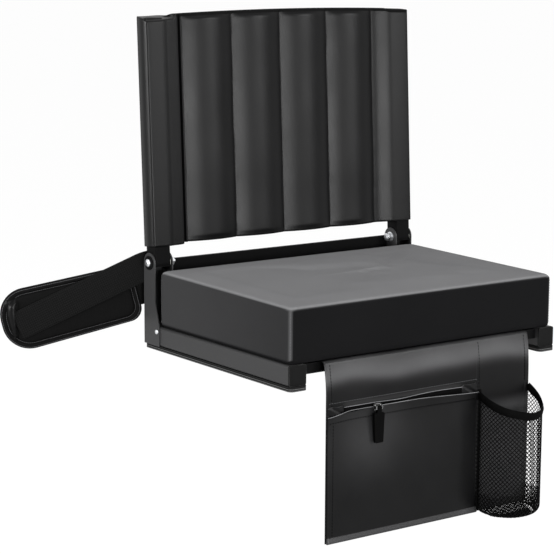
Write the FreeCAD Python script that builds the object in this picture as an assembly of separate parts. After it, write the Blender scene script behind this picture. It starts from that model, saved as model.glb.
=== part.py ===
import FreeCAD
import Part
import math
import os

# Folding stadium seat: a steel seat frame with a padded cushion, a padded back that folds
# forward on two hinge bolts, a shoulder strap, and an organiser flap that hangs at the front.
# Millimetres. +X is the sitter's left as seen from the front (the viewer's right), +Y is the
# rear and +Z is up. The origin is on the plane of the feet, under the middle of the cushion.

cut_margin = 20.0  # how far large cutting blocks reach past what they cut
overcut = 1.0  # how far drills and slots run past a face

# Driving dimensions: seat frame
seat_width = 432.0  # across the outsides of the two hinge brackets
rail_width = 25.4
rail_height = 25.4
rail_wall = 1.5
rail_corner = 2.8
rail_lead = 0.25  # front end of the rail tube, ahead of the cushion
rail_tail = 11.5  # rear end of the rail tube, behind the hinge axis
cap_head = 2.4
cap_plug = 16.0
plug_clearance = 0.1
foot_height = 6.0
foot_overhang = 0.5  # foot strip past the rail on each side
foot_overrun = 3.0  # foot strip ahead of the front cap
foot_nose = 6.0
groove_height = 0.9
groove_depth = 0.8
front_bar_depth = 25.4
front_bar_height = 12.7
front_bar_wall = 1.2
front_bar_setback = 5.0  # behind the rail's front end

# Driving dimensions: hinge brackets and bolts
bracket_sheet = 1.6
bracket_lead = 12.3  # bracket's front edge, ahead of the hinge axis
bracket_knee_rise = 30.6  # above the rail, where the outer plate starts to widen
bracket_toe = 22.0  # outer plate's toe on the rail, ahead of the hinge axis
hinge_setback = 16.75  # hinge axis behind the cushion
hinge_rise = 14.0  # hinge axis above the cushion's top edge
web_rise = 8.0  # stop web above the hinge axis
stop_gap = 0.3
rear_bar_height = 25.4
rear_bar_thickness = 5.0
rear_bar_rise = 0.8
bolt_radius = 3.0
bolt_head_radius = 5.2
bolt_head_height = 3.4
bolt_head_dome = 2.6
bolt_tip = 2.0
head_washer_radius = 9.0
head_washer_thickness = 1.5
nut_washer_radius = 7.0
nut_washer_thickness = 1.2
nut_flats = 10.0
nut_thickness = 6.0
spacer_washer = 0.6
spacer_radius = 4.6
side_clearance = 0.1
running_clearance = 0.05
bolt_clearance = 0.2

# Driving dimensions: folding back
upright_depth = 22.0
upright_wall = 1.5
upright_corner = 2.5
back_lean = 3.0  # degrees behind upright when the back rests on its stops
back_height = 318.5  # hinge axis to the top of the cover
cover_start = 23.0  # hinge axis to the bottom of the cover
back_cover_sheet = 1.5
back_top_round = 9.0
back_rear_round = 4.0
sleeve_round = 3.2
channel_count = 4
sleeve_slope = 31.2  # from a sleeve's inner edge to the first sewn seam
channel_crest = 11.0  # front of a channel, ahead of the hinge plane
channel_valley = 3.0
panel_rear = 4.0  # back face of the panel, behind the hinge plane
foam_rear = 0.8
foam_seam = 2.5  # foam stops short of each sewn seam
back_bar_height = 25.0
back_bar_thickness = 2.6
back_bar_margin = 14.0  # bars in from the cover's top and bottom
top_plug_head = 7.0
top_plug_depth = 14.0

# Driving dimensions: cushion
cushion_side_inset = 4.5  # cushion in from the outsides of the brackets
cushion_depth = 285.5
cushion_height = 68.0
cushion_crown = 3.0
cushion_draw_in = 1.5
cushion_corner = 6.5
cushion_top_round = 6.0
cushion_bottom_round = 4.0
cover_sheet = 1.4
cover_hem = 38.0
board_thickness = 9.0
soft_gap = 0.3
seat_screw_radius = 2.4
seat_screw_length = 9.0
seat_screw_head_radius = 4.6
seat_screw_head = 3.0
seat_screw_access = 1.0  # room round the screw's head in the rail's bottom wall
seat_screw_inset = 47.75  # screws in from the cushion's front and rear
bracket_screw_radius = 2.0
bracket_screw_head_radius = 3.2
bracket_screw_head = 1.8
bracket_screw_length = 9.0
bracket_screw_back = 4.5  # behind the bracket's toe

# Driving dimensions: shoulder strap
webbing_width = 38.0
webbing_thickness = 2.0
webbing_lift = 0.05
strap_swing = 32.0  # degrees that the strap runs backwards from straight sideways
upper_run = 165.0
upper_lift = 12.3  # upper webbing above its anchor where it leaves the frame
upper_fall = 25.4  # degrees
anchor_inset = 25.0
anchor_margin = 1.0  # webbing's upper edge below the top of the rear bar
lower_standoff = 8.0
pad_length = 183.0
pad_near_width = 75.0
pad_far_width = 82.0
pad_thickness = 12.0
pad_start = 8.0
pad_hang = 18.95  # middle of the pad's near end below the strap anchors
pad_fall = 13.9  # degrees
pad_far_round = 36.0
pad_near_round = 20.0
pad_edge_round = 4.5
pad_grip = 26.0  # webbing sewn inside the pad
strap_screw_radius = 2.5
strap_screw_head_radius = 5.0
strap_screw_head = 2.6
strap_washer_radius = 8.0
strap_washer_thickness = 1.0

# Driving dimensions: organiser flap
flap_width = 330.0
flap_sheet = 2.0
flap_stand = 11.3  # flap's face ahead of the cushion
flap_length = 224.4  # fold line to hem
flap_turn = 33.0  # height over which the flap turns down
flap_strip_depth = 26.0
bead_clearance = 0.35
axis_lead = 2.3  # fold line ahead of the cushion
pocket_width = 241.0
pocket_drop = 67.4  # fold line to the pocket's mouth
pocket_stand = 3.5
pocket_sheet = 1.5
pocket_hem = 4.0
zip_left_margin = 26.0
zip_right_margin = 27.0
zip_drop = 62.4  # fold line to the zip
tape_height = 9.6
tape_thickness = 1.0
coil_height = 4.0
coil_thickness = 2.0
tab_height = 12.8
tab_thickness = 1.2
slider_place = 74.0  # from the pocket's left edge
slider_width = 10.0
slider_height = 9.0
slider_thickness = 3.0
slider_gap = 0.3
ear_thickness = 1.6
ear_reach = 3.4
pull_pin_radius = 0.9
pull_knuckle_radius = 2.0
pull_thickness = 3.0
pull_top_width = 16.0
pull_tip_width = 12.5
pull_length = 44.0
pull_corner = 2.0

# Driving dimensions: mesh bottle pocket
mesh_radius = 43.25
mesh_depth = 49.0
mesh_wall = 1.4
mesh_bottom_round = 12.0
mesh_edge_margin = 0.95  # from the flap's right edge
rim_height = 8.0
rim_thickness = 3.2
rim_drop = 66.4  # fold line to the rim where it meets the flap
rim_dip = 24.0  # rim's front below its ends

# Levels and places worked out from the dimensions above
rail_bottom = foot_height
rail_top = rail_bottom + rail_height
cushion_bottom = rail_top
cushion_width = seat_width - 2 * cushion_side_inset
hinge_back = cushion_depth / 2 + hinge_setback
hinge_height = cushion_bottom + cushion_height + hinge_rise
rail_front = cushion_depth / 2 + rail_lead
rail_rear = hinge_back + rail_tail
bracket_knee = rail_top + bracket_knee_rise
seat_screw_spread = cushion_depth / 2 - seat_screw_inset
board_bottom = cushion_bottom + cover_sheet
board_top = board_bottom + board_thickness
bracket_outside = seat_width / 2
rail_outside = bracket_outside - bracket_sheet
rail_inside = rail_outside - rail_width
bracket_inside = rail_inside - bracket_sheet
hinge_side = rail_outside - rail_width / 2
upright_width = rail_width - 2 * (spacer_washer + side_clearance)
upright_half = upright_depth / 2
lean = math.radians(back_lean)
web_inside = hinge_back + upright_half / math.cos(lean) + web_rise * math.tan(lean) + stop_gap
web_outside = web_inside + bracket_sheet
bracket_front = hinge_back - bracket_lead
toe_front = hinge_back - bracket_toe
rear_bar_top = hinge_height + rear_bar_rise
front_bar_top = rail_top - flap_sheet
cushion_front = -cushion_depth / 2
flap_half = flap_width / 2
flap_face = cushion_front - flap_stand
flap_back = flap_face + flap_sheet
fold_y = cushion_front - axis_lead
fold_z = rail_top - flap_sheet / 2
bead_radius = flap_sheet / 2
flap_hem = fold_z - flap_length
pocket_mouth = fold_z - pocket_drop
rim_back = fold_z - rim_drop
pocket_left = -flap_half
pocket_right = pocket_left + pocket_width
pocket_face = flap_face - pocket_stand
zip_left = pocket_left + zip_left_margin
zip_right = pocket_right - zip_right_margin
zip_z = fold_z - zip_drop
slider_x = pocket_left + slider_place
coil_face = flap_face - tape_thickness - coil_thickness
slider_back = coil_face - slider_gap
slider_face = slider_back - slider_thickness
pull_axis_y = slider_face - pull_knuckle_radius - slider_gap
mesh_middle = flap_half - mesh_edge_margin - mesh_radius
ACROSS = FreeCAD.Vector(1, 0, 0)
REARWARD = FreeCAD.Vector(0, 1, 0)
UPWARD = FreeCAD.Vector(0, 0, 1)
ORIGIN = FreeCAD.Vector(0, 0, 0)


def block(x_low, x_high, y_low, y_high, z_low, z_high):
    corner = FreeCAD.Vector(x_low, y_low, z_low)
    return Part.makeBox(x_high - x_low, y_high - y_low, z_high - z_low, corner)


def pin_across(radius, x_low, x_high, y, z):
    return Part.makeCylinder(radius, x_high - x_low, FreeCAD.Vector(x_low, y, z), ACROSS)


def pin_rearward(radius, y_low, y_high, x, z):
    return Part.makeCylinder(radius, y_high - y_low, FreeCAD.Vector(x, y_low, z), REARWARD)


def pin_upward(radius, z_low, z_high, x, y):
    return Part.makeCylinder(radius, z_high - z_low, FreeCAD.Vector(x, y, z_low), UPWARD)


def edges_along(shape, direction):
    """Straight edges of a shape that run along a direction."""
    found = []
    for edge in shape.Edges:
        if not isinstance(edge.Curve, Part.Line):
            continue
        if abs(edge.tangentAt(edge.FirstParameter).dot(direction)) > 0.999:
            found.append(edge)
    return found


def rounded_block(x_low, x_high, y_low, y_high, z_low, z_high, direction, radius):
    """A block whose four edges along one direction are rounded."""
    solid = block(x_low, x_high, y_low, y_high, z_low, z_high)
    return solid.makeFillet(radius, edges_along(solid, direction))


def side_plate(outline, x_low, x_high):
    """A closed outline of edges in the YZ plane, given thickness across the seat."""
    face = Part.Face(Part.Wire(outline))
    face.translate(FreeCAD.Vector(x_low, 0, 0))
    return face.extrude(FreeCAD.Vector(x_high - x_low, 0, 0))


def line(start, end):
    return Part.LineSegment(FreeCAD.Vector(*start), FreeCAD.Vector(*end)).toShape()


def arc(start, middle, end):
    return Part.Arc(FreeCAD.Vector(*start), FreeCAD.Vector(*middle), FreeCAD.Vector(*end)).toShape()


def mirrored(shape):
    """The same piece on the other side of the seat."""
    return shape.mirror(ORIGIN, ACROSS)


def on_both_sides(shape):
    return Part.makeCompound([shape, mirrored(shape)])


def leaned(shape):
    """A piece of the back, modelled upright over the hinge axis and then leaned onto its stop."""
    turned = shape.copy()
    turned.rotate(FreeCAD.Vector(0, hinge_back, hinge_height), ACROSS, -back_lean)
    return turned


def ring_across(outer, inner, x_low, x_high, y, z):
    bore = pin_across(inner, x_low - overcut, x_high + overcut, y, z)
    return pin_across(outer, x_low, x_high, y, z).cut(bore)


# Seat frame
def rail():
    """Square tube under one side of the cushion, drilled for the cushion's screws."""
    tube = rounded_block(
        rail_inside, rail_outside, -rail_front, rail_rear, rail_bottom, rail_top, REARWARD, rail_corner)
    bore = block(
        rail_inside + rail_wall, rail_outside - rail_wall,
        -rail_front - cut_margin, rail_rear + cut_margin,
        rail_bottom + rail_wall, rail_top - rail_wall,
    )
    tube = tube.cut(bore)
    hole = seat_screw_radius + bolt_clearance
    access = seat_screw_head_radius + seat_screw_access
    for y in (-seat_screw_spread, seat_screw_spread):
        tube = tube.cut(pin_upward(hole, rail_top - 2 * rail_wall, rail_top + overcut, hinge_side, y))
        tube = tube.cut(pin_upward(
            access, rail_bottom - overcut, rail_bottom + 2 * rail_wall, hinge_side, y))
    return tube.cut(bracket_screw_hole(bracket_screw_radius + running_clearance))


def end_cap(end, outward):
    """Moulded cap: a head over the tube's end and a plug inside it."""
    head_low, head_high = sorted((end, end + outward * cap_head))
    plug_low, plug_high = sorted((end, end - outward * cap_plug))
    head = rounded_block(
        rail_inside, rail_outside, head_low, head_high, rail_bottom, rail_top, REARWARD, rail_corner)
    inset = rail_wall + plug_clearance
    plug = block(
        rail_inside + inset, rail_outside - inset, plug_low, plug_high,
        rail_bottom + inset, rail_top - inset)
    return head.fuse(plug).removeSplitter()


def foot_strip():
    """Long soft strip under a rail, grooved along both sides."""
    x_low, x_high = rail_inside - foot_overhang, rail_outside + foot_overhang
    y_low, y_high = -rail_front - cap_head - foot_overrun, rail_rear + cap_head
    strip = rounded_block(x_low, x_high, y_low, y_high, 0, foot_height, UPWARD, foot_nose)
    for share in (1 / 3, 2 / 3):
        z = foot_height * share
        for x in (x_low, x_high):
            strip = strip.cut(block(
                x - groove_depth, x + groove_depth, y_low - overcut, y_high + overcut,
                z - groove_height / 2, z + groove_height / 2,
            ))
    return strip


def front_cross_bar():
    """Flat tube that ties the rails together under the cushion's front edge."""
    y_low = -rail_front + front_bar_setback
    y_high = y_low + front_bar_depth
    z_low = front_bar_top - front_bar_height
    bar = block(-rail_inside, rail_inside, y_low, y_high, z_low, front_bar_top)
    bore = block(
        -rail_inside - overcut, rail_inside + overcut, y_low + front_bar_wall, y_high - front_bar_wall,
        z_low + front_bar_wall, front_bar_top - front_bar_wall,
    )
    return bar.cut(bore)


def rear_cross_bar():
    """Flat bar welded between the inner plates of the two hinge brackets."""
    bar = block(
        -bracket_inside, bracket_inside, web_outside - rear_bar_thickness, web_outside,
        rear_bar_top - rear_bar_height, rear_bar_top,
    )
    for x in (-strap_anchor_x, strap_anchor_x):
        hole = pin_rearward(
            strap_screw_radius + running_clearance, web_outside - 2 * rear_bar_thickness,
            web_outside + overcut, x, strap_anchor_z,
        )
        bar = bar.cut(hole)
    return bar


# Hinge brackets
def bracket_screw_hole(radius):
    y = toe_front + bracket_screw_back
    z = rail_top - rail_height / 4
    return pin_across(radius, rail_outside - rail_width / 2, bracket_outside + cut_margin, y, z)


def hinge_bracket():
    """Bent sheet: an outer and an inner plate beside the upright, and a web behind it as its stop."""
    half = (web_outside - bracket_front) / 2
    crown = (0, bracket_front + half, hinge_height + half)
    top = arc((0, web_outside, hinge_height), crown, (0, bracket_front, hinge_height))
    rear = line((0, web_outside, rail_bottom), (0, web_outside, hinge_height))
    outer = [
        rear, top,
        line((0, bracket_front, hinge_height), (0, bracket_front, bracket_knee)),
        line((0, bracket_front, bracket_knee), (0, toe_front, rail_top)),
        line((0, toe_front, rail_top), (0, toe_front, rail_bottom)),
        line((0, toe_front, rail_bottom), (0, web_outside, rail_bottom)),
    ]
    inner = [
        rear, top,
        line((0, bracket_front, hinge_height), (0, bracket_front, rail_bottom)),
        line((0, bracket_front, rail_bottom), (0, web_outside, rail_bottom)),
    ]
    outer_plate = side_plate(outer, rail_outside, bracket_outside)
    plates = outer_plate.fuse(side_plate(inner, bracket_inside, rail_inside))
    web = block(bracket_inside, bracket_outside, web_inside, web_outside, rail_top, hinge_height + web_rise)
    web = web.common(side_plate(inner, bracket_inside, bracket_outside))
    shell = plates.fuse(web).removeSplitter()
    hole = pin_across(
        bolt_radius + bolt_clearance, bracket_inside - overcut, bracket_outside + overcut,
        hinge_back, hinge_height)
    return shell.cut(hole).cut(bracket_screw_hole(bracket_screw_radius + bolt_clearance))


def bracket_screw():
    y = toe_front + bracket_screw_back
    z = rail_top - rail_height / 4
    head_high = bracket_outside + bracket_screw_head
    head = pin_across(bracket_screw_head_radius, bracket_outside, head_high, y, z)
    outer_edge = max(head.Edges, key=lambda edge: edge.CenterOfMass.x)
    head = head.makeFillet(bracket_screw_head * 0.6, [outer_edge])
    shank = pin_across(bracket_screw_radius, bracket_outside - bracket_screw_length, bracket_outside, y, z)
    return head.fuse(shank).removeSplitter()


def hinge_bolt():
    """Dome-headed bolt from the outer plate through the upright to a nut inside."""
    head_low = bracket_outside + head_washer_thickness
    head = pin_across(bolt_head_radius, head_low, head_low + bolt_head_height, hinge_back, hinge_height)
    outer_edge = max(head.Edges, key=lambda edge: edge.CenterOfMass.x)
    head = head.makeFillet(bolt_head_dome, [outer_edge])
    tip = bracket_inside - nut_washer_thickness - nut_thickness - bolt_tip
    return head.fuse(pin_across(bolt_radius, tip, head_low, hinge_back, hinge_height)).removeSplitter()


def hinge_nut():
    """Hexagon nut on the inner end of a hinge bolt."""
    x_high = bracket_inside - nut_washer_thickness
    reach = nut_flats / math.sqrt(3)
    corners = []
    for step in range(7):
        angle = math.radians(60 * step)
        corners.append(FreeCAD.Vector(
            x_high, hinge_back + reach * math.cos(angle), hinge_height + reach * math.sin(angle)))
    nut = Part.Face(Part.makePolygon(corners)).extrude(FreeCAD.Vector(-nut_thickness, 0, 0))
    bore = pin_across(
        bolt_radius + running_clearance, x_high - 2 * nut_thickness, x_high + overcut,
        hinge_back, hinge_height)
    return nut.cut(bore)


def washer(radius, x_low, thickness):
    return ring_across(
        radius, bolt_radius + bolt_clearance, x_low, x_low + thickness, hinge_back, hinge_height)


# Folding back
def back_block(x_low, x_high, y_low, y_high, low, high):
    """A block placed from the hinge plane and from the hinge axis upwards."""
    return block(
        x_low, x_high, hinge_back + y_low, hinge_back + y_high, hinge_height + low, hinge_height + high)


upright_low_x = hinge_side - upright_width / 2
upright_high_x = hinge_side + upright_width / 2
upright_top = back_height - back_top_round - back_cover_sheet
back_bar_low = -foam_rear + soft_gap
channel_width = 2 * (upright_low_x - back_cover_sheet - sleeve_slope) / channel_count
bar_levels = (cover_start + back_bar_margin, back_height - back_bar_margin - back_bar_height)


def upright():
    """Tube at one side of the back, with a round lower end that turns on the hinge bolt."""
    low, high = hinge_height - upright_half, hinge_height + upright_top
    tube = rounded_block(
        upright_low_x, upright_high_x, hinge_back - upright_half, hinge_back + upright_half,
        low, high, UPWARD, upright_corner)
    tube = tube.cut(block(
        upright_low_x + upright_wall, upright_high_x - upright_wall,
        hinge_back - upright_half + upright_wall, hinge_back + upright_half - upright_wall,
        low - cut_margin, high + cut_margin))
    x_low, x_high = upright_low_x - overcut, upright_high_x + overcut
    end = pin_across(upright_half, x_low, x_high, hinge_back, hinge_height)
    above = back_block(x_low, x_high, -upright_depth, upright_depth, 0, back_height)
    tube = tube.common(end.fuse(above))
    hole = pin_across(spacer_radius + running_clearance, x_low, x_high, hinge_back, hinge_height)
    return leaned(tube.cut(hole))


def hinge_spacer():
    """Sleeve across the upright that runs on the hinge bolt."""
    return leaned(ring_across(
        spacer_radius, bolt_radius + running_clearance, upright_low_x, upright_high_x,
        hinge_back, hinge_height))


def top_plug():
    """Plug with a rounded head in the top of an upright, under the cover."""
    low, high = upright_top, upright_top + top_plug_head
    head = back_block(upright_low_x, upright_high_x, -upright_half, upright_half, low, high)
    head = head.makeFillet(upright_corner, edges_along(head, UPWARD))
    inset = upright_wall + plug_clearance
    stem = back_block(
        upright_low_x + inset, upright_high_x - inset, -upright_half + inset, upright_half - inset,
        low - top_plug_depth, low)
    return leaned(head.fuse(stem).common(back_side_form(-back_cover_sheet - soft_gap)))


def back_cross_bar(level):
    """Flat bar between the uprights, inside the cover, that keeps the back square."""
    return leaned(back_block(
        -upright_low_x, upright_low_x, back_bar_low, back_bar_low + back_bar_thickness,
        level, level + back_bar_height))


def back_side_form(grow):
    """The back seen from the side: a slab with a well-rounded top front edge."""
    front, rear = -upright_half - back_cover_sheet - grow, upright_half + back_cover_sheet + grow
    low, high = cover_start - grow, back_height + grow
    slant = 1 - math.sqrt(0.5)
    y_front, y_rear = hinge_back + front, hinge_back + rear
    z_low, z_high = hinge_height + low, hinge_height + high
    outline = [
        line((0, y_front, z_low), (0, y_front, z_high - back_top_round)),
        arc(
            (0, y_front, z_high - back_top_round),
            (0, y_front + back_top_round * slant, z_high - back_top_round * slant),
            (0, y_front + back_top_round, z_high)),
        line((0, y_front + back_top_round, z_high), (0, y_rear - back_rear_round, z_high)),
        arc(
            (0, y_rear - back_rear_round, z_high),
            (0, y_rear - back_rear_round * slant, z_high - back_rear_round * slant),
            (0, y_rear, z_high - back_rear_round)),
        line((0, y_rear, z_high - back_rear_round), (0, y_rear, z_low)),
        line((0, y_rear, z_low), (0, y_front, z_low)),
    ]
    return side_plate(outline, -seat_width, seat_width)


def channel_edges():
    """Left and right seam of each padded channel."""
    start = -channel_count * channel_width / 2
    seams = [start + i * channel_width for i in range(channel_count + 1)]
    return list(zip(seams, seams[1:]))


def back_outline():
    """The back cover seen from above: a sleeve at each side and padded channels between them."""
    half = upright_half + back_cover_sheet
    outside = upright_high_x + back_cover_sheet
    inside = upright_low_x - back_cover_sheet
    seam = channel_count * channel_width / 2
    edges = [
        line((-outside, half, 0), (-outside, -half, 0)),
        line((-outside, -half, 0), (-inside, -half, 0)),
        line((-inside, -half, 0), (-seam, -channel_valley, 0)),
    ]
    for left, right in channel_edges():
        middle = (left + right) / 2
        edges.append(arc(
            (left, -channel_valley, 0), (middle, -channel_crest, 0), (right, -channel_valley, 0)))
    edges += [
        line((seam, -channel_valley, 0), (inside, -half, 0)),
        line((inside, -half, 0), (outside, -half, 0)),
        line((outside, -half, 0), (outside, half, 0)),
        line((outside, half, 0), (inside, half, 0)),
        line((inside, half, 0), (seam, panel_rear, 0)),
        line((seam, panel_rear, 0), (-seam, panel_rear, 0)),
        line((-seam, panel_rear, 0), (-inside, half, 0)),
        line((-inside, half, 0), (-outside, half, 0)),
    ]
    return Part.Face(Part.Wire(edges))


def channel_foam(grow):
    """Foam strips of the padded channels; grow makes the room for them in the cover."""
    strips = []
    low, high = cover_start + back_cover_sheet, back_height - back_cover_sheet - back_top_round
    for left, right in channel_edges():
        left += foam_seam - grow
        right -= foam_seam - grow
        front = -channel_valley + back_cover_sheet / 2 - grow
        crest = -channel_crest + back_cover_sheet - grow
        rear = -foam_rear + grow
        edges = [
            arc((left, front, 0), ((left + right) / 2, crest, 0), (right, front, 0)),
            line((right, front, 0), (right, rear, 0)),
            line((right, rear, 0), (left, rear, 0)),
            line((left, rear, 0), (left, front, 0)),
        ]
        strip = Part.Face(Part.Wire(edges)).extrude(FreeCAD.Vector(0, 0, high - low + 2 * grow))
        strip.translate(FreeCAD.Vector(0, hinge_back, hinge_height + low - grow))
        strips.append(strip)
    return Part.makeCompound(strips)


def back_cover():
    """Sewn cover that slips over both uprights, hollowed for the tubes, bars and foam."""
    cover = back_outline().extrude(FreeCAD.Vector(0, 0, back_height - cover_start))
    cover.translate(FreeCAD.Vector(0, hinge_back, hinge_height + cover_start))
    outside = upright_high_x + back_cover_sheet
    corners = [e for e in edges_along(cover, UPWARD) if abs(abs(e.CenterOfMass.x) - outside) < 0.01]
    cover = cover.makeFillet(sleeve_round, corners).common(back_side_form(0))
    sleeve = back_block(
        upright_low_x - soft_gap, upright_high_x + soft_gap,
        -upright_half - soft_gap, upright_half + soft_gap,
        cover_start - cut_margin, upright_top + top_plug_head + soft_gap)
    mouth = back_block(-seat_width, seat_width, -upright_depth, upright_depth, 0, back_height / 2)
    sleeve = sleeve.common(back_side_form(soft_gap - back_cover_sheet).fuse(mouth))
    cover = cover.cut(sleeve).cut(mirrored(sleeve))
    for level in bar_levels:
        cover = cover.cut(back_block(
            -upright_low_x, upright_low_x,
            back_bar_low - soft_gap, back_bar_low + back_bar_thickness + soft_gap,
            level - soft_gap, level + back_bar_height + soft_gap))
    for strip in channel_foam(soft_gap).Solids:
        cover = cover.cut(strip)
    return leaned(cover)


def back_foam():
    return leaned(channel_foam(0))


# Cushion
def cushion_form(inset, floor):
    """Box with drawn-in sides, rounded corners and a crowned top, taken in on every side."""
    x, y = cushion_width / 2 - inset, cushion_depth / 2 - inset
    edge_top = cushion_bottom + cushion_height - inset
    outline = [
        arc((-x, -y, floor), (0, -y + cushion_draw_in, floor), (x, -y, floor)),
        arc((x, -y, floor), (x - cushion_draw_in, 0, floor), (x, y, floor)),
        arc((x, y, floor), (0, y - cushion_draw_in, floor), (-x, y, floor)),
        arc((-x, y, floor), (-x + cushion_draw_in, 0, floor), (-x, -y, floor)),
    ]
    prism = Part.Face(Part.Wire(outline)).extrude(
        FreeCAD.Vector(0, 0, edge_top + 2 * cushion_crown - floor))
    prism = prism.makeFillet(cushion_corner - inset, edges_along(prism, UPWARD))
    corner_reach = math.hypot(x, y)
    ball_radius = (corner_reach ** 2 + cushion_crown ** 2) / (2 * cushion_crown)
    ball = Part.makeSphere(ball_radius, FreeCAD.Vector(0, 0, edge_top + cushion_crown - ball_radius))
    form = prism.common(ball)
    rim = [f for f in form.Faces if isinstance(f.Surface, Part.Sphere)][0].Edges
    return form.makeFillet(cushion_top_round - inset, rim)


def cushion_cover():
    """Sewn cover, drawn under the board with a hem and left open in the middle."""
    outer = cushion_form(0, cushion_bottom)
    rim = [e for e in outer.Edges if all(abs(v.Z - cushion_bottom) < 0.01 for v in e.Vertexes)]
    outer = outer.makeFillet(cushion_bottom_round, rim)
    cover = outer.cut(cushion_form(cover_sheet, board_bottom))
    x, y = cushion_width / 2 - cover_hem, cushion_depth / 2 - cover_hem
    cover = cover.cut(block(-x, x, -y, y, cushion_bottom - overcut, board_bottom + overcut))
    return cut_seat_screws(cover, seat_screw_radius + bolt_clearance)


def cut_seat_screws(solid, radius):
    for x in (-hinge_side, hinge_side):
        for y in (-seat_screw_spread, seat_screw_spread):
            solid = solid.cut(pin_upward(radius, rail_top - overcut, seat_screw_tip + radius, x, y))
    return solid


seat_screw_tip = rail_top - rail_wall + seat_screw_length


def seat_board():
    """Plywood panel inside the bottom of the cover."""
    slab = block(
        -cushion_width, cushion_width, -cushion_depth, cushion_depth, board_bottom - overcut, board_top)
    board = cushion_form(cover_sheet + soft_gap, board_bottom).common(slab)
    return cut_seat_screws(board, seat_screw_radius + running_clearance)


def cushion_foam():
    return cushion_form(cover_sheet + soft_gap, board_top)


def seat_screws():
    """Screws from inside the rails, through the cover's hem, into the board."""
    screws = []
    head_top = rail_top - rail_wall
    for x in (-hinge_side, hinge_side):
        for y in (-seat_screw_spread, seat_screw_spread):
            head = pin_upward(seat_screw_head_radius, head_top - seat_screw_head, head_top, x, y)
            shank = pin_upward(seat_screw_radius, head_top, seat_screw_tip, x, y)
            screws.append(head.fuse(shank).removeSplitter())
    return Part.makeCompound(screws)


# Shoulder strap
strap_anchor_x = bracket_inside - anchor_inset
strap_anchor_z = rear_bar_top - webbing_width / 2 - anchor_margin
webbing_y = web_outside + webbing_lift + webbing_thickness / 2
swing = math.radians(strap_swing)
strap_out = FreeCAD.Vector(-math.cos(swing), math.sin(swing), 0)
strap_normal = FreeCAD.Vector(math.sin(swing), math.cos(swing), 0)
strap_root = FreeCAD.Vector(-bracket_outside, webbing_y, 0)
pad_stand = webbing_thickness / 2 + soft_gap + pad_thickness / 2
pad_slope = math.tan(math.radians(pad_fall))
upper_slope = math.tan(math.radians(upper_fall))
upper_start = strap_anchor_z + upper_lift


def strap_point(run, stand, height):
    """A point on the strap: along its run, behind its front layer, and above the feet."""
    return strap_root + strap_out * run + strap_normal * stand + FreeCAD.Vector(0, 0, height)


def pad_axis_height(run):
    return strap_anchor_z - pad_hang - pad_slope * run


def ribbon(points, width, thickness):
    """Webbing on edge along a line of points, mitred where it turns."""
    sections = []
    for i, point in enumerate(points):
        before = points[i] - points[i - 1] if i else points[1] - points[0]
        after = points[i + 1] - points[i] if i + 1 < len(points) else before
        if i == 0:
            before = after
        normals = [FreeCAD.Vector(-d.y, d.x, 0).normalize() for d in (before, after)]
        across = (normals[0] + normals[1]).normalize()
        across = across * (thickness / 2 / across.dot(normals[0]))
        slope = max(abs(d.z) / math.hypot(d.x, d.y) for d in (before, after))
        tall = FreeCAD.Vector(0, 0, width / 2 * math.hypot(1, slope))
        upper, lower = point + tall, point - tall
        corners = [upper + across, upper - across, lower - across, lower + across]
        sections.append(Part.makePolygon(corners + corners[:1]))
    return Part.makeLoft(sections, True, True)


def upper_points():
    return [
        FreeCAD.Vector(-strap_anchor_x + webbing_width / 2, webbing_y, strap_anchor_z),
        FreeCAD.Vector(-strap_anchor_x - webbing_width / 2, webbing_y, strap_anchor_z),
        strap_point(0, 0, upper_start),
        strap_point(upper_run, 0, upper_start - upper_slope * upper_run),
    ]


def lower_points():
    grip_end = pad_start + pad_grip
    behind = webbing_y + lower_standoff
    return [
        FreeCAD.Vector(strap_anchor_x + webbing_width / 2, webbing_y, strap_anchor_z),
        FreeCAD.Vector(strap_anchor_x - webbing_width / 2, webbing_y, strap_anchor_z),
        FreeCAD.Vector(-hinge_side, behind, pad_axis_height(0)),
        strap_point(pad_start, pad_stand, pad_axis_height(pad_start)),
        strap_point(grip_end, pad_stand, pad_axis_height(grip_end)),
    ]


def webbing(points, anchor_x):
    hole = pin_rearward(
        strap_screw_radius + bolt_clearance, webbing_y - webbing_thickness, webbing_y + webbing_thickness,
        anchor_x, strap_anchor_z)
    return ribbon(points, webbing_width, webbing_thickness).cut(hole)


def pad_blank():
    """Pad lying flat: it widens from a blunt near end to a well-rounded far end."""
    near, far = pad_near_width / 2, pad_far_width / 2
    low = -pad_thickness / 2
    corners = [
        FreeCAD.Vector(0, -near, low),
        FreeCAD.Vector(pad_length, -far, low),
        FreeCAD.Vector(pad_length, far, low),
        FreeCAD.Vector(0, near, low),
    ]
    blank = Part.Face(Part.makePolygon(corners + corners[:1])).extrude(FreeCAD.Vector(0, 0, pad_thickness))
    far_edges = [e for e in edges_along(blank, UPWARD) if e.CenterOfMass.x > pad_length / 2]
    blank = blank.makeFillet(pad_far_round, far_edges)
    near_edges = [e for e in edges_along(blank, UPWARD) if e.CenterOfMass.x < overcut]
    return blank.makeFillet(pad_near_round, near_edges)


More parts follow.
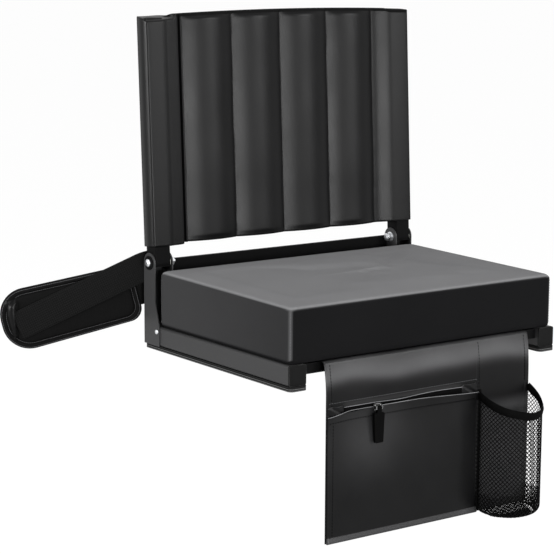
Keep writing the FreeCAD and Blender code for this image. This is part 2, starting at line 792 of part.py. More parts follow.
def shoulder_pad():
    """Padded sleeve that the strap's lower run is sewn into."""
    pad = pad_blank()
    faces = [f for f in pad.Faces if abs(abs(f.CenterOfMass.z) - pad_thickness / 2) < 0.01]
    pad = pad.makeFillet(pad_edge_round, [e for f in faces for e in f.Edges])
    fall = math.radians(pad_fall)
    along = strap_out * math.cos(fall) - UPWARD * math.sin(fall)
    wide = UPWARD * math.cos(fall) + strap_out * math.sin(fall)
    thick = along.cross(wide)
    start = strap_point(pad_start, pad_stand, pad_axis_height(pad_start))
    place = FreeCAD.Matrix(
        along.x, wide.x, thick.x, start.x,
        along.y, wide.y, thick.y, start.y,
        along.z, wide.z, thick.z, start.z,
        0, 0, 0, 1)
    pad.Placement = FreeCAD.Placement(place)
    room = ribbon(lower_points()[2:], webbing_width + 2 * soft_gap, webbing_thickness + 2 * soft_gap)
    return pad.cut(room)


def strap_screws():
    screws = []
    for x in (-strap_anchor_x, strap_anchor_x):
        head_low = webbing_y + webbing_thickness / 2 + strap_washer_thickness
        head = pin_rearward(
            strap_screw_head_radius, head_low, head_low + strap_screw_head, x, strap_anchor_z)
        shank = pin_rearward(
            strap_screw_radius, web_outside - rear_bar_thickness, head_low, x, strap_anchor_z)
        screws.append(head.fuse(shank).removeSplitter())
    return Part.makeCompound(screws)


def strap_washers():
    washers = []
    for x in (-strap_anchor_x, strap_anchor_x):
        low = webbing_y + webbing_thickness / 2
        disc = pin_rearward(strap_washer_radius, low, low + strap_washer_thickness, x, strap_anchor_z)
        hole = pin_rearward(
            strap_screw_radius + bolt_clearance, low - overcut, low + strap_washer_thickness + overcut,
            x, strap_anchor_z)
        washers.append(disc.cut(hole))
    return Part.makeCompound(washers)


# Organiser flap
def flap_top_strip():
    """Upper edge of the flap, sewn under the cushion's hem, ending in the bead it swings on."""
    strip = block(
        -flap_half, flap_half, fold_y, fold_y + flap_strip_depth,
        fold_z - bead_radius, fold_z + bead_radius)
    return strip.fuse(pin_across(bead_radius, -flap_half, flap_half, fold_y, fold_z)).removeSplitter()


def flap_panel():
    """Hanging panel: it turns down from the bead in a soft curve and then hangs straight."""
    top_y, top_z = fold_y - bead_radius - bead_clearance, fold_z + bead_radius
    reach = top_y - flap_face
    radius = (reach ** 2 + flap_turn ** 2) / (2 * reach)
    centre_y, centre_z = flap_face + radius, top_z - flap_turn
    sweep = math.asin(flap_turn / radius)

    def on_curve(r, angle):
        return (0, centre_y - r * math.cos(angle), centre_z + r * math.sin(angle))

    inner = radius - flap_sheet
    outline = [
        line((0, flap_face, flap_hem), on_curve(radius, 0)),
        arc(on_curve(radius, 0), on_curve(radius, sweep / 2), on_curve(radius, sweep)),
        line(on_curve(radius, sweep), on_curve(inner, sweep)),
        arc(on_curve(inner, sweep), on_curve(inner, sweep / 2), on_curve(inner, 0)),
        line(on_curve(inner, 0), (0, flap_back, flap_hem)),
        line((0, flap_back, flap_hem), (0, flap_face, flap_hem)),
    ]
    panel = side_plate(outline, -flap_half, flap_half)
    half = flap_half + overcut
    room = pin_across(bead_radius + bead_clearance, -half, half, fold_y, fold_z)
    return panel.cut(room)


def pocket_panel():
    """Front of the zip pocket: a shallow tray sewn to the flap on three sides."""
    tray = block(pocket_left, pocket_right, pocket_face, flap_face, flap_hem, pocket_mouth)
    hollow = block(
        pocket_left + pocket_hem, pocket_right - pocket_hem,
        pocket_face + pocket_sheet, flap_face + overcut,
        flap_hem + pocket_hem, pocket_mouth + overcut)
    return tray.cut(hollow)


def zipper_tape():
    return block(
        zip_left, zip_right, flap_face - tape_thickness, flap_face,
        zip_z - tape_height / 2, zip_z + tape_height / 2)


def zipper_coil():
    return block(
        zip_left, zip_right, coil_face, flap_face - tape_thickness,
        zip_z - coil_height / 2, zip_z + coil_height / 2)


def zip_end_tabs():
    """Folded patches that close off both ends of the zip."""
    z_low, z_high = zip_z - tape_height / 2, zip_z - tape_height / 2 + tab_height
    y_low = flap_face - tab_thickness
    return Part.makeCompound([
        block(pocket_left, zip_left, y_low, flap_face, z_low, z_high),
        block(zip_right, pocket_right, y_low, flap_face, z_low, z_high),
    ])


def zipper_slider():
    """Slider on the coil, with two ears that hold the pull's pin."""
    body = rounded_block(
        slider_x - slider_width / 2, slider_x + slider_width / 2, slider_face, slider_back,
        zip_z - slider_height / 2, zip_z + slider_height / 2, REARWARD, slider_width / 5)
    ear_out = slider_width / 2
    for side in (-1, 1):
        low, high = sorted((slider_x + side * ear_out, slider_x + side * (ear_out - ear_thickness)))
        body = body.fuse(block(
            low, high, slider_face - ear_reach, slider_face,
            zip_z - ear_reach / 2 - pull_pin_radius / 2, zip_z + ear_reach / 2 + pull_pin_radius / 2))
    pin = pin_across(
        pull_pin_radius, slider_x - ear_out + ear_thickness / 2, slider_x + ear_out - ear_thickness / 2,
        pull_axis_y, zip_z)
    return body.fuse(pin).removeSplitter()


def zipper_pull():
    """Tapered pull tab that hangs from the slider's pin by a round knuckle."""
    knuckle_half = slider_width / 2 - ear_thickness - side_clearance
    knuckle = pin_across(
        pull_knuckle_radius, slider_x - knuckle_half, slider_x + knuckle_half, pull_axis_y, zip_z)
    tab_top = zip_z - slider_height / 2 - pull_knuckle_radius
    tab_low = zip_z - pull_length
    y_low, y_high = pull_axis_y - pull_thickness / 2, pull_axis_y + pull_thickness / 2
    neck = block(slider_x - knuckle_half, slider_x + knuckle_half, y_low, y_high, tab_top, zip_z)
    corners = [
        FreeCAD.Vector(slider_x - pull_top_width / 2, y_low, tab_top),
        FreeCAD.Vector(slider_x + pull_top_width / 2, y_low, tab_top),
        FreeCAD.Vector(slider_x + pull_tip_width / 2, y_low, tab_low),
        FreeCAD.Vector(slider_x - pull_tip_width / 2, y_low, tab_low),
    ]
    tab = Part.Face(Part.makePolygon(corners + corners[:1])).extrude(FreeCAD.Vector(0, pull_thickness, 0))
    tab = tab.makeFillet(pull_corner, edges_along(tab, REARWARD))
    hole = pin_across(
        pull_pin_radius + running_clearance, slider_x - slider_width, slider_x + slider_width,
        pull_axis_y, zip_z)
    return knuckle.fuse(neck).fuse(tab).removeSplitter().cut(hole)


# Mesh bottle pocket
def pocket_form(inset, floor):
    """Half-round cup against the flap, taken in on every side, reaching above the rim."""
    radius = mesh_radius - inset
    turn_y = flap_face - (mesh_depth - mesh_radius)
    back_y = flap_face + (cut_margin if inset > 0 else 0)
    diagonal = radius * math.sqrt(0.5)
    left, right = mesh_middle - radius, mesh_middle + radius
    front = (mesh_middle, turn_y - radius, floor)
    outline = [
        line((left, back_y, floor), (left, turn_y, floor)),
        arc((left, turn_y, floor), (mesh_middle - diagonal, turn_y - diagonal, floor), front),
        arc(front, (mesh_middle + diagonal, turn_y - diagonal, floor), (right, turn_y, floor)),
        line((right, turn_y, floor), (right, back_y, floor)),
        line((right, back_y, floor), (left, back_y, floor)),
    ]
    cup = Part.Face(Part.Wire(outline)).extrude(FreeCAD.Vector(0, 0, fold_z - floor))
    rim = [
        e for e in cup.Edges
        if all(abs(v.Z - floor) < 0.01 for v in e.Vertexes) and e.CenterOfMass.y < back_y - 0.01
    ]
    return cup.makeFillet(mesh_bottom_round - inset, rim)


def below_rim(drop):
    """Everything below the slanting rim of the cup, or below a line parallel to it."""
    y_back, y_front = flap_face + cut_margin, flap_face - mesh_depth - cut_margin
    slope = rim_dip / mesh_depth
    z_back = rim_back - drop + slope * (y_back - flap_face)
    z_front = rim_back - drop + slope * (y_front - flap_face)
    z_low = flap_hem - cut_margin
    outline = [
        line((0, y_back, z_low), (0, y_back, z_back)),
        line((0, y_back, z_back), (0, y_front, z_front)),
        line((0, y_front, z_front), (0, y_front, z_low)),
        line((0, y_front, z_low), (0, y_back, z_low)),
    ]
    return side_plate(outline, -seat_width, seat_width)


def mesh_pocket():
    """Net cup sewn to the flap; the flap is its back."""
    floor = flap_hem
    wall = pocket_form(0, floor).cut(pocket_form(mesh_wall, floor + mesh_wall))
    return wall.common(below_rim(rim_height))


def mesh_rim():
    """Bound edge round the mouth of the cup."""
    spare = (rim_thickness - mesh_wall) / 2
    floor = flap_hem
    band = pocket_form(-spare, floor).cut(pocket_form(mesh_wall + spare, floor + mesh_wall))
    return band.common(below_rim(0)).cut(below_rim(rim_height))


spacer_stack = [
    washer(head_washer_radius, rail_inside, spacer_washer),
    washer(head_washer_radius, rail_outside - spacer_washer, spacer_washer),
]
nodes = {
    "left_rail": mirrored(rail()),
    "right_rail": rail(),
    "left_front_cap": mirrored(end_cap(-rail_front, -1)),
    "right_front_cap": end_cap(-rail_front, -1),
    "left_rear_cap": mirrored(end_cap(rail_rear, 1)),
    "right_rear_cap": end_cap(rail_rear, 1),
    "left_foot_strip": mirrored(foot_strip()),
    "right_foot_strip": foot_strip(),
    "front_cross_bar": front_cross_bar(),
    "rear_cross_bar": rear_cross_bar(),
    "left_hinge_bracket": mirrored(hinge_bracket()),
    "right_hinge_bracket": hinge_bracket(),
    "bracket_screws": on_both_sides(bracket_screw()),
    "left_hinge_bolt": mirrored(hinge_bolt()),
    "right_hinge_bolt": hinge_bolt(),
    "hinge_nuts": on_both_sides(hinge_nut()),
    "bolt_head_washers": on_both_sides(
        washer(head_washer_radius, bracket_outside, head_washer_thickness)),
    "nut_washers": on_both_sides(
        washer(nut_washer_radius, bracket_inside - nut_washer_thickness, nut_washer_thickness)),
    "hinge_spacer_washers": Part.makeCompound(spacer_stack + [mirrored(s) for s in spacer_stack]),
    "seat_board": seat_board(),
    "cushion_foam": cushion_foam(),
    "cushion_cover": cushion_cover(),
    "seat_screws": seat_screws(),
    "strap_upper_webbing": webbing(upper_points(), -strap_anchor_x),
    "strap_lower_webbing": webbing(lower_points(), strap_anchor_x),
    "shoulder_pad": shoulder_pad(),
    "strap_screws": strap_screws(),
    "strap_washers": strap_washers(),
    "flap_top_strip": flap_top_strip(),
    "left_upright": mirrored(upright()),
    "right_upright": upright(),
    "left_hinge_sleeve": mirrored(hinge_spacer()),
    "right_hinge_sleeve": hinge_spacer(),
    "left_top_plug": mirrored(top_plug()),
    "right_top_plug": top_plug(),
    "back_lower_bar": back_cross_bar(bar_levels[0]),
    "back_upper_bar": back_cross_bar(bar_levels[1]),
    "back_foam": back_foam(),
    "back_cover": back_cover(),
    "flap_panel": flap_panel(),
    "pocket_panel": pocket_panel(),
    "zipper_tape": zipper_tape(),
    "zipper_coil": zipper_coil(),
    "zip_end_tabs": zip_end_tabs(),
    "mesh_pocket": mesh_pocket(),
    "mesh_rim": mesh_rim(),
    "zipper_slider": zipper_slider(),
    "zipper_pull": zipper_pull(),
}

os.makedirs("parts", exist_ok=True)
for name, shape in nodes.items():
    shape.exportStep(os.path.join("parts", name + ".step"))
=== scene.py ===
import math
import bpy
import numpy as np
from mathutils import Matrix, Vector


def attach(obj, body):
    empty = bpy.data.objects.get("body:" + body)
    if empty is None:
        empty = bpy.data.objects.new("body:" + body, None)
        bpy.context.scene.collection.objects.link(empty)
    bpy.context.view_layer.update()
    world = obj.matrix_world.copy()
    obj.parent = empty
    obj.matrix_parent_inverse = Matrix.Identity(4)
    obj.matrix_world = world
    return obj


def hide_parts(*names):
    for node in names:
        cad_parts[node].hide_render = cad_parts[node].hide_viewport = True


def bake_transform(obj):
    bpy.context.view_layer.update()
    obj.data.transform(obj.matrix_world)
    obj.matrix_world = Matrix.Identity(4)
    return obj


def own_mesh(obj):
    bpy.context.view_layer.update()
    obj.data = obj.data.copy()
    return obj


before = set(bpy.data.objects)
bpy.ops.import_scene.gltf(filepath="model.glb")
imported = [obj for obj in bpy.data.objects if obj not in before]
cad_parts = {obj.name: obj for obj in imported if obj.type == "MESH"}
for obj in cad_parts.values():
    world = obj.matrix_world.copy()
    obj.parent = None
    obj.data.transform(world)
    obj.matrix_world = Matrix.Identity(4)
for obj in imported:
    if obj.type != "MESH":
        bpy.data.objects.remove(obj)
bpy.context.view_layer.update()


# Seat frame: square steel tube rails, flat bars and bent sheet hinge brackets, welded together.
# All of it is powder coated in satin black, which leaves a fine orange peel and thins to a
# dull grey where the edges are handled.
def put(tree, kind, values=(), **settings):
    """A node in a tree, with its settings and its plain input values."""
    made = tree.nodes.new(kind)
    for key, value in settings.items():
        setattr(made, key, value)
    for key, value in dict(values).items():
        made.inputs[key].default_value = value
    return made


def wire(tree, source, output, target, socket):
    """Links one node's output to another's input."""
    tree.links.new(source.outputs[output], target.inputs[socket])


def start_group(name, inputs, outputs):
    """An empty shader group with number inputs and number outputs."""
    group = bpy.data.node_groups.new(name, "ShaderNodeTree")
    for label, usual in inputs.items():
        socket = group.interface.new_socket(label, in_out="INPUT", socket_type="NodeSocketFloat")
        socket.default_value = usual
    for label in outputs:
        group.interface.new_socket(label, in_out="OUTPUT", socket_type="NodeSocketFloat")
    return group, group.nodes.new("NodeGroupInput"), group.nodes.new("NodeGroupOutput")


def neutral(level, blue=0.0):
    """A neutral colour, or one that leans a little to blue."""
    return (level, level, level + blue)


def start_material(name, colour, roughness, specular=0.5, metallic=0.0):
    """A material whose shader has its plain values set."""
    material = bpy.data.materials.new(name)
    material.use_nodes = True
    tree = material.node_tree
    shader = tree.nodes["Principled BSDF"]
    shader.inputs["Base Color"].default_value = (*colour, 1)
    shader.inputs["Roughness"].default_value = roughness
    shader.inputs["Specular IOR Level"].default_value = specular
    shader.inputs["Metallic"].default_value = metallic
    return material, tree, shader


def use_group(tree, group, **values):
    """A shader group placed in a material with its own values."""
    return put(tree, "ShaderNodeGroup", values, node_tree=group)


def colour_between(tree, mask, low, high, target):
    """Drives a colour socket from one colour to another by a mask."""
    ramp = tree.nodes.new("ShaderNodeValToRGB")
    ramp.color_ramp.elements[0].color = (*low, 1)
    ramp.color_ramp.elements[1].color = (*high, 1)
    tree.links.new(mask, ramp.inputs["Fac"])
    tree.links.new(ramp.outputs["Color"], target)


def value_between(tree, mask, low, high, target):
    """Drives a number socket from one value to another by a mask."""
    spread = put(tree, "ShaderNodeMapRange", {"To Min": low, "To Max": high})
    tree.links.new(mask, spread.inputs["Value"])
    tree.links.new(spread.outputs["Result"], target)


def raise_by(tree, height, strength, distance, shader):
    """Feeds a height into the shader's normal."""
    bump = put(tree, "ShaderNodeBump", {"Strength": strength, "Distance": distance})
    tree.links.new(height, bump.inputs["Height"])
    wire(tree, bump, "Normal", shader, "Normal")


speckle, into, out = start_group("speckle", {"Scale": 900.0, "Patch Scale": 14.0}, ("Height", "Patch"))
place = put(speckle, "ShaderNodeTexCoord")
fine = put(speckle, "ShaderNodeTexNoise", {"Detail": 2.0, "Roughness": 0.55})
broad = put(speckle, "ShaderNodeTexNoise", {"Detail": 5.0, "Roughness": 0.62})
for noise, label in ((fine, "Scale"), (broad, "Patch Scale")):
    wire(speckle, place, "Object", noise, "Vector")
    speckle.links.new(into.outputs[label], noise.inputs["Scale"])
wire(speckle, fine, "Fac", out, "Height")
wire(speckle, broad, "Fac", out, "Patch")

edge_rub, into, out = start_group("edge_rub", {"Scale": 160.0, "Amount": 1.0}, ("Mask",))
surface = put(edge_rub, "ShaderNodeNewGeometry")
softened = put(edge_rub, "ShaderNodeBevel", {"Radius": 0.0009}, samples=4)
turn = put(edge_rub, "ShaderNodeVectorMath", operation="DOT_PRODUCT")
wire(edge_rub, surface, "Normal", turn, 0)
wire(edge_rub, softened, "Normal", turn, 1)
bend = put(edge_rub, "ShaderNodeMapRange", {"From Min": 0.99, "From Max": 0.82})
wire(edge_rub, turn, "Value", bend, "Value")
place = put(edge_rub, "ShaderNodeTexCoord")
chips = put(edge_rub, "ShaderNodeTexNoise", {"Detail": 4.0, "Roughness": 0.7})
wire(edge_rub, place, "Object", chips, "Vector")
wire(edge_rub, into, "Scale", chips, "Scale")
worn = put(edge_rub, "ShaderNodeMapRange", {"From Min": 0.3, "From Max": 0.56})
wire(edge_rub, chips, "Fac", worn, "Value")
both = put(edge_rub, "ShaderNodeMath", operation="MULTIPLY")
wire(edge_rub, bend, "Result", both, 0)
wire(edge_rub, worn, "Result", both, 1)
share = put(edge_rub, "ShaderNodeMath", operation="MULTIPLY")
wire(edge_rub, both, "Value", share, 0)
wire(edge_rub, into, "Amount", share, 1)
wire(edge_rub, share, "Value", out, "Mask")


def painted_steel(name, coat, worn, roughness, specular):
    """Powder coat over steel: orange peel, and a dull wear along the edges."""
    material, tree, shader = start_material(name, coat, roughness, specular=specular)
    peel = use_group(tree, speckle, **{"Scale": 650.0, "Patch Scale": 22.0})
    rub = use_group(tree, edge_rub, Amount=0.6)
    colour_between(tree, rub.outputs["Mask"], coat, worn, shader.inputs["Base Color"])
    value_between(tree, peel.outputs["Patch"], roughness - 0.07, roughness + 0.08,
                  shader.inputs["Roughness"])
    raise_by(tree, peel.outputs["Height"], 0.25, 0.0004, shader)
    return material


powder_coat = painted_steel("powder_coat", neutral(0.018, 0.0005), neutral(0.06, 0.001), 0.44, 0.17)
# The second coat is the same satin black painted darker: painted shade for the bars, uprights and washers
# that sit in shade under and behind the cushion.
shaded_bar_coat = painted_steel("shaded_bar_coat", neutral(0.002, 0.0001), neutral(0.016, 0.0005), 0.6, 0.03)


def dress(material, *nodes):
    """Gives CAD nodes their finish."""
    for node in nodes:
        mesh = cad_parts[node].data
        mesh.materials.clear()
        mesh.materials.append(material)


dress(powder_coat, "left_rail", "right_rail", "left_hinge_bracket", "right_hinge_bracket")
dress(shaded_bar_coat, "front_cross_bar", "rear_cross_bar", "left_upright", "right_upright",
      "back_lower_bar", "back_upper_bar", "bolt_head_washers")

# End caps in the rails and plugs in the uprights: injection moulded polypropylene, pressed in.
# The mould leaves a faint spark texture.
moulded, tree, shader = start_material("moulded_plastic", neutral(0.003), 0.55, specular=0.05)
spark = use_group(tree, speckle, **{"Scale": 1500.0, "Patch Scale": 30.0})
rub = use_group(tree, edge_rub, Amount=0.6)
colour_between(tree, rub.outputs["Mask"], neutral(0.003), neutral(0.08), shader.inputs["Base Color"])
value_between(tree, spark.outputs["Patch"], 0.4, 0.56, shader.inputs["Roughness"])
raise_by(tree, spark.outputs["Height"], 0.3, 0.0003, shader)
dress(moulded, "left_front_cap", "right_front_cap", "left_rear_cap", "right_rear_cap",
      "left_top_plug", "right_top_plug")

# Foot strips: extruded soft rubber with two grooves along each side, glued under the rails.
# The rubber is matt, with bloom and a little dust.
rubber, tree, shader = start_material("foot_rubber", neutral(0.004), 0.78, specular=0.1)
skin = use_group(tree, speckle, **{"Scale": 420.0, "Patch Scale": 60.0})
place = put(tree, "ShaderNodeTexCoord")
level = put(tree, "ShaderNodeSeparateXYZ")
wire(tree, place, "Object", level, "Vector")
up_strip = put(tree, "ShaderNodeMapRange", {"From Max": 0.006})
wire(tree, level, "Z", up_strip, "Value")
# Two pale bands at set heights up each side are painted highlights, standing for light caught along the
# grooves.
groove_highlights = put(tree, "ShaderNodeValToRGB")
groove_highlights.color_ramp.elements[0].color = (*neutral(0.003), 1)
groove_highlights.color_ramp.elements[1].color = (*neutral(0.002), 1)
for share, grey in ((0.04, 0.003), (0.1, 0.045), (0.2, 0.045), (0.26, 0.003), (0.41, 0.003),
                    (0.45, 0.06), (0.55, 0.06), (0.59, 0.002)):
    stop = groove_highlights.color_ramp.elements.new(share)
    stop.color = (*neutral(grey), 1)
wire(tree, up_strip, "Result", groove_highlights, "Fac")
wire(tree, groove_highlights, "Color", shader, "Base Color")
value_between(tree, skin.outputs["Patch"], 0.62, 0.88, shader.inputs["Roughness"])
raise_by(tree, skin.outputs["Height"], 0.35, 0.0005, shader)
dress(rubber, "left_foot_strip", "right_foot_strip")


# Hinge bolts, nuts, washers and screws: cold headed steel, bright zinc plated.
# The plating is cloudy, with fine turning marks.
def speckled(name, scale, patch, colours, roughness, bump, specular=0.5, metallic=0.0, colour_by="Patch"):
    """A material whose colour and roughness drift in patches over a fine relief."""
    material, tree, shader = start_material(name, colours[1], roughness[1], specular, metallic)
    fleck = use_group(tree, speckle, **{"Scale": scale, "Patch Scale": patch})
    colour_between(tree, fleck.outputs[colour_by], *colours, shader.inputs["Base Color"])
    value_between(tree, fleck.outputs["Patch"], *roughness, shader.inputs["Roughness"])
    raise_by(tree, fleck.outputs["Height"], *bump, shader)
    return material


zinc = speckled("zinc_plate", 1800.0, 260.0, ((0.42, 0.43, 0.45), (0.8, 0.81, 0.82)), (0.2, 0.42),
                (0.12, 0.0002), metallic=1.0)
dress(zinc, "bracket_screws", "left_hinge_bolt", "right_hinge_bolt", "hinge_nuts", "nut_washers",
      "seat_screws", "strap_screws", "strap_washers")

# Hinge sleeves and spacer washers: turned from natural nylon. A sleeve is pressed into each
# upright and turns on the bolt, and the washers keep the upright off the bracket's plates.
nylon = speckled("natural_nylon", 1200.0, 120.0, ((0.5, 0.5, 0.45), (0.68, 0.68, 0.64)), (0.4, 0.6),
                 (0.15, 0.0002))
dress(nylon, "left_hinge_sleeve", "right_hinge_sleeve", "hinge_spacer_washers")

# Seat board: a sawn panel of bare plywood inside the bottom of the cushion cover.
# Its face veneer has long grain across the seat, and its edge shows the plies.
plywood, tree, shader = start_material("bare_plywood", (0.5, 0.34, 0.18), 0.7, specular=0.3)
place = put(tree, "ShaderNodeTexCoord")
stretch = put(tree, "ShaderNodeMapping", {"Scale": (3.0, 60.0, 900.0)})
wire(tree, place, "Object", stretch, "Vector")
grain = put(tree, "ShaderNodeTexNoise",
            {"Scale": 4.0, "Detail": 7.0, "Roughness": 0.65, "Distortion": 0.6})
wire(tree, stretch, "Vector", grain, "Vector")
colour_between(tree, grain.outputs["Fac"], (0.3, 0.17, 0.075), (0.66, 0.48, 0.28),
               shader.inputs["Base Color"])
value_between(tree, grain.outputs["Fac"], 0.6, 0.8, shader.inputs["Roughness"])
raise_by(tree, grain.outputs["Fac"], 0.25, 0.0005, shader)
dress(plywood, "seat_board")


# Cushion: a foam block in a cover of black coated cloth, sewn up the four corners, drawn under
# the board and stapled there. The foam swells the top and its sides pull in between the
# corners. The cloth's colour carries painted light: a pale top as if lit from above, sides a
# little paler towards the rear, and a painted highlight up each corner seam.
def make_piece(name, points, faces, material):
    """A smooth piece from points in millimetres, with its faces turned outward."""
    points = np.asarray(points, float) * 0.001
    mesh = bpy.data.meshes.new(name)
    mesh.from_pydata(points.tolist(), [], faces)
    fans = np.array([(face[0], face[i], face[i + 1])
                     for face in faces for i in range(1, len(face) - 1)])
    first, second, third = (points[fans[:, i]] for i in range(3))
    if np.einsum("ij,ij", first, np.cross(second, third)) < 0:
        mesh.flip_normals()
    mesh.polygons.foreach_set("use_smooth", [True] * len(mesh.polygons))
    mesh.materials.append(material)
    mesh.update()
    piece = bpy.data.objects.new(name, mesh)
    bpy.context.scene.collection.objects.link(piece)
    return piece


def read_points(piece):
    """A piece's points in metres."""
    points = np.empty(len(piece.data.vertices) * 3)
    piece.data.vertices.foreach_get("co", points)
    return points.reshape(-1, 3)


def write_points(piece, points):
    """Moves a piece's points, given in metres."""
    piece.data.vertices.foreach_set("co", np.asarray(points).ravel())
    piece.data.update()


def swell(piece, pressure, cap, loose, stiffness=12.0, frames=20):
    """Inflates a sewn shell for a moment; loose gives each point's freedom, from 0 to 1."""
    rest = read_points(piece)
    group = piece.vertex_groups.new(name="held")
    for index, freedom in enumerate(loose):
        if freedom < 1:
            group.add([index], 1.0 - float(freedom), "REPLACE")
    cloth = piece.modifiers.new("swell", "CLOTH")
    for key, value in {
        "quality": 5, "mass": 0.3, "tension_stiffness": stiffness, "compression_stiffness": stiffness,
        "shear_stiffness": stiffness / 3, "bending_stiffness": 0.5, "use_pressure": True,
        "uniform_pressure_force": pressure, "vertex_group_mass": "held",
    }.items():
        setattr(cloth.settings, key, value)
    cloth.settings.effector_weights.gravity = 0
    cloth.point_cache.frame_start = 1
    cloth.point_cache.frame_end = frames
    scene = bpy.context.scene
    for step in range(1, frames + 1):
        scene.frame_set(step)
    depsgraph = bpy.context.evaluated_depsgraph_get()
    moved = np.empty(len(rest) * 3)
    piece.evaluated_get(depsgraph).data.vertices.foreach_get("co", moved)
    piece.modifiers.clear()
    piece.vertex_groups.clear()
    scene.frame_set(1)
    shift = moved.reshape(-1, 3) - rest
    far = np.linalg.norm(shift, axis=1, keepdims=True)
    shift *= np.minimum(1.0, cap / np.maximum(far, 1e-9))
    write_points(piece, rest + shift * np.asarray(loose)[:, None])


grain_skin, into, out = start_group(
    "coated_grain", {"Scale": 700.0, "Patch Scale": 9.0}, ("Height", "Patch"))
place = put(grain_skin, "ShaderNodeTexCoord")
cells = put(grain_skin, "ShaderNodeTexVoronoi", {"Randomness": 0.9}, feature="SMOOTH_F1")
wire(grain_skin, place, "Object", cells, "Vector")
wire(grain_skin, into, "Scale", cells, "Scale")
pebbles = put(grain_skin, "ShaderNodeMapRange",
              {"From Min": 0.1, "From Max": 0.7, "To Min": 1.0, "To Max": 0.0})
wire(grain_skin, cells, "Distance", pebbles, "Value")
broad = put(grain_skin, "ShaderNodeTexNoise", {"Detail": 4.0, "Roughness": 0.55})
wire(grain_skin, place, "Object", broad, "Vector")
wire(grain_skin, into, "Patch Scale", broad, "Scale")
wire(grain_skin, pebbles, "Result", out, "Height")
wire(grain_skin, broad, "Fac", out, "Patch")


def coated_cloth_material(name, low, high, roughness, specular, painted_light=None):
    """Black coated cloth: a fine pebbled skin, painted paler as painted light where the piece's
    painted_light share is high.
    """
    material, tree, shader = start_material(name, high, roughness, specular=specular)
    skin = use_group(tree, grain_skin, **{"Scale": 1100.0, "Patch Scale": 11.0})
    plain = shader.inputs["Base Color"]
    if painted_light:
        share = put(tree, "ShaderNodeAttribute", attribute_name="painted_light")
        tone = put(tree, "ShaderNodeMix", data_type="RGBA")
        wire(tree, share, "Fac", tone, 0)
        colour_between(tree, skin.outputs["Patch"], *painted_light, tone.inputs[7])
        tree.links.new(tone.outputs[2], plain)
        plain = tone.inputs[6]
    colour_between(tree, skin.outputs["Patch"], low, high, plain)
    value_between(tree, skin.outputs["Patch"], roughness - 0.06, roughness + 0.08,
                  shader.inputs["Roughness"])
    raise_by(tree, skin.outputs["Height"], 0.22, 0.00025, shader)
    return material


def set_painted_light(piece, values):
    """Writes each point's share of painted light, from 0 to 1, which the cloth shows as a paler colour."""
    share = piece.data.attributes.new("painted_light", "FLOAT", "POINT")
    share.data.foreach_set("value", np.asarray(values, float))


def soft_step(share):
    """A share held between 0 and 1 that starts and ends gently."""
    share = np.clip(share, 0, 1)
    return share * share * (3 - 2 * share)


# seat_cloth's pale colours are painted light, set per point on the cushion below.
seat_cloth = coated_cloth_material("seat_cloth", neutral(0.0035, 0.0002), neutral(0.0055, 0.0003), 0.8, 0.02,
                                   painted_light=(neutral(0.122, 0.003), neutral(0.15, 0.003)))

cushion_half = np.array([211.5, 142.75])
cushion_low, cushion_top = 31.4, 99.4
cushion_crown, cushion_round, cushion_hem = 3.0, 6.0, 38.0
corner_turn, side_pull = 6.5, 1.5
front_rise, rear_rise, rise_from = 0.8, 4.2, 60.0


def rounded_rings():
    """Rings of the cushion from the middle of its underside, round its sides, to its top."""
    corners = np.array(((-1, -1), (1, -1), (1, 1), (-1, 1)), float)
    square = np.concatenate([
        start + (end - start) * np.arange(count)[:, None] / count
        for start, end, count in zip(corners, np.roll(corners, -1, axis=0), (84, 56, 84, 56))])

    def ring(inset, z, corner_round):
        """One ring at a height, drawn in from the sides."""
        half = cushion_half - inset
        flat = square * half
        core = np.clip(flat, -(half - corner_round), half - corner_round)
        out_of = flat - core
        far = np.linalg.norm(out_of, axis=1, keepdims=True)
        at_corner = (np.abs(square) > 1 - corner_round / half).all(axis=1)
        turned = core + out_of / np.maximum(far, 1e-9) * corner_round
        points = np.where(at_corner[:, None], turned, flat)
        up = np.clip((z - cushion_low) / (cushion_top - cushion_low), 0, 1)
        pull = side_pull * np.sin(up * math.pi) * (1 - np.abs(square).min(axis=1) ** 2)
        normal = np.where(np.abs(square) > 0.9999, np.sign(square), 0)
        return np.column_stack([points - normal * pull[:, None], np.full(len(points), z)])

    rings = []
    for inset in (60, cushion_hem + 1.0):
        rings.append(ring(inset, cushion_low + 1.7, 4.0))
    rings.append(ring(cushion_hem + 0.4, cushion_low + 0.7, 4.0))
    for inset in (cushion_hem - 1, 30, 20, 12, 7):
        rings.append(ring(inset, cushion_low, corner_turn))
    for inset, rise in ((3.2, 0.0), (1.8, 0.4), (0.9, 1.2), (0.8, 2.2), (0.6, 3.0), (0.2, 4.0),
                        (0.0, 6.0)):
        rings.append(ring(inset, cushion_low + rise, 4.5 + rise / 3))
    for z in np.linspace(cushion_low + 9.5, cushion_top - cushion_round - 4, 10):
        rings.append(ring(0, z, corner_turn))
    for step in range(0, 7):
        angle = step / 6 * math.pi / 2
        inset = cushion_round * (1 - math.cos(angle))
        rise = cushion_round * math.sin(angle)
        rings.append(ring(inset, cushion_top - cushion_round + rise, corner_turn))
    reach = np.hypot(*cushion_half)
    for inset in np.concatenate([[8.5, 12], np.arange(17, 140, 5.0), [141.5]]):
        flat = ring(inset, cushion_top, max(0.3, corner_turn - inset / 40))
        away = np.linalg.norm(flat[:, :2], axis=1) / reach
        flat[:, 2] += cushion_crown * np.clip(1 - away ** 2, 0, 1) * min(1, inset / 40)
        rings.append(flat)
    for flat in rings:
        rearward = (flat[:, 1] + cushion_half[1]) / (2 * cushion_half[1])
        upward = np.clip((flat[:, 2] - rise_from) / (cushion_top - rise_from), 0, 1)
        flat[:, 2] += (front_rise + rear_rise * rearward) * upward
    return rings


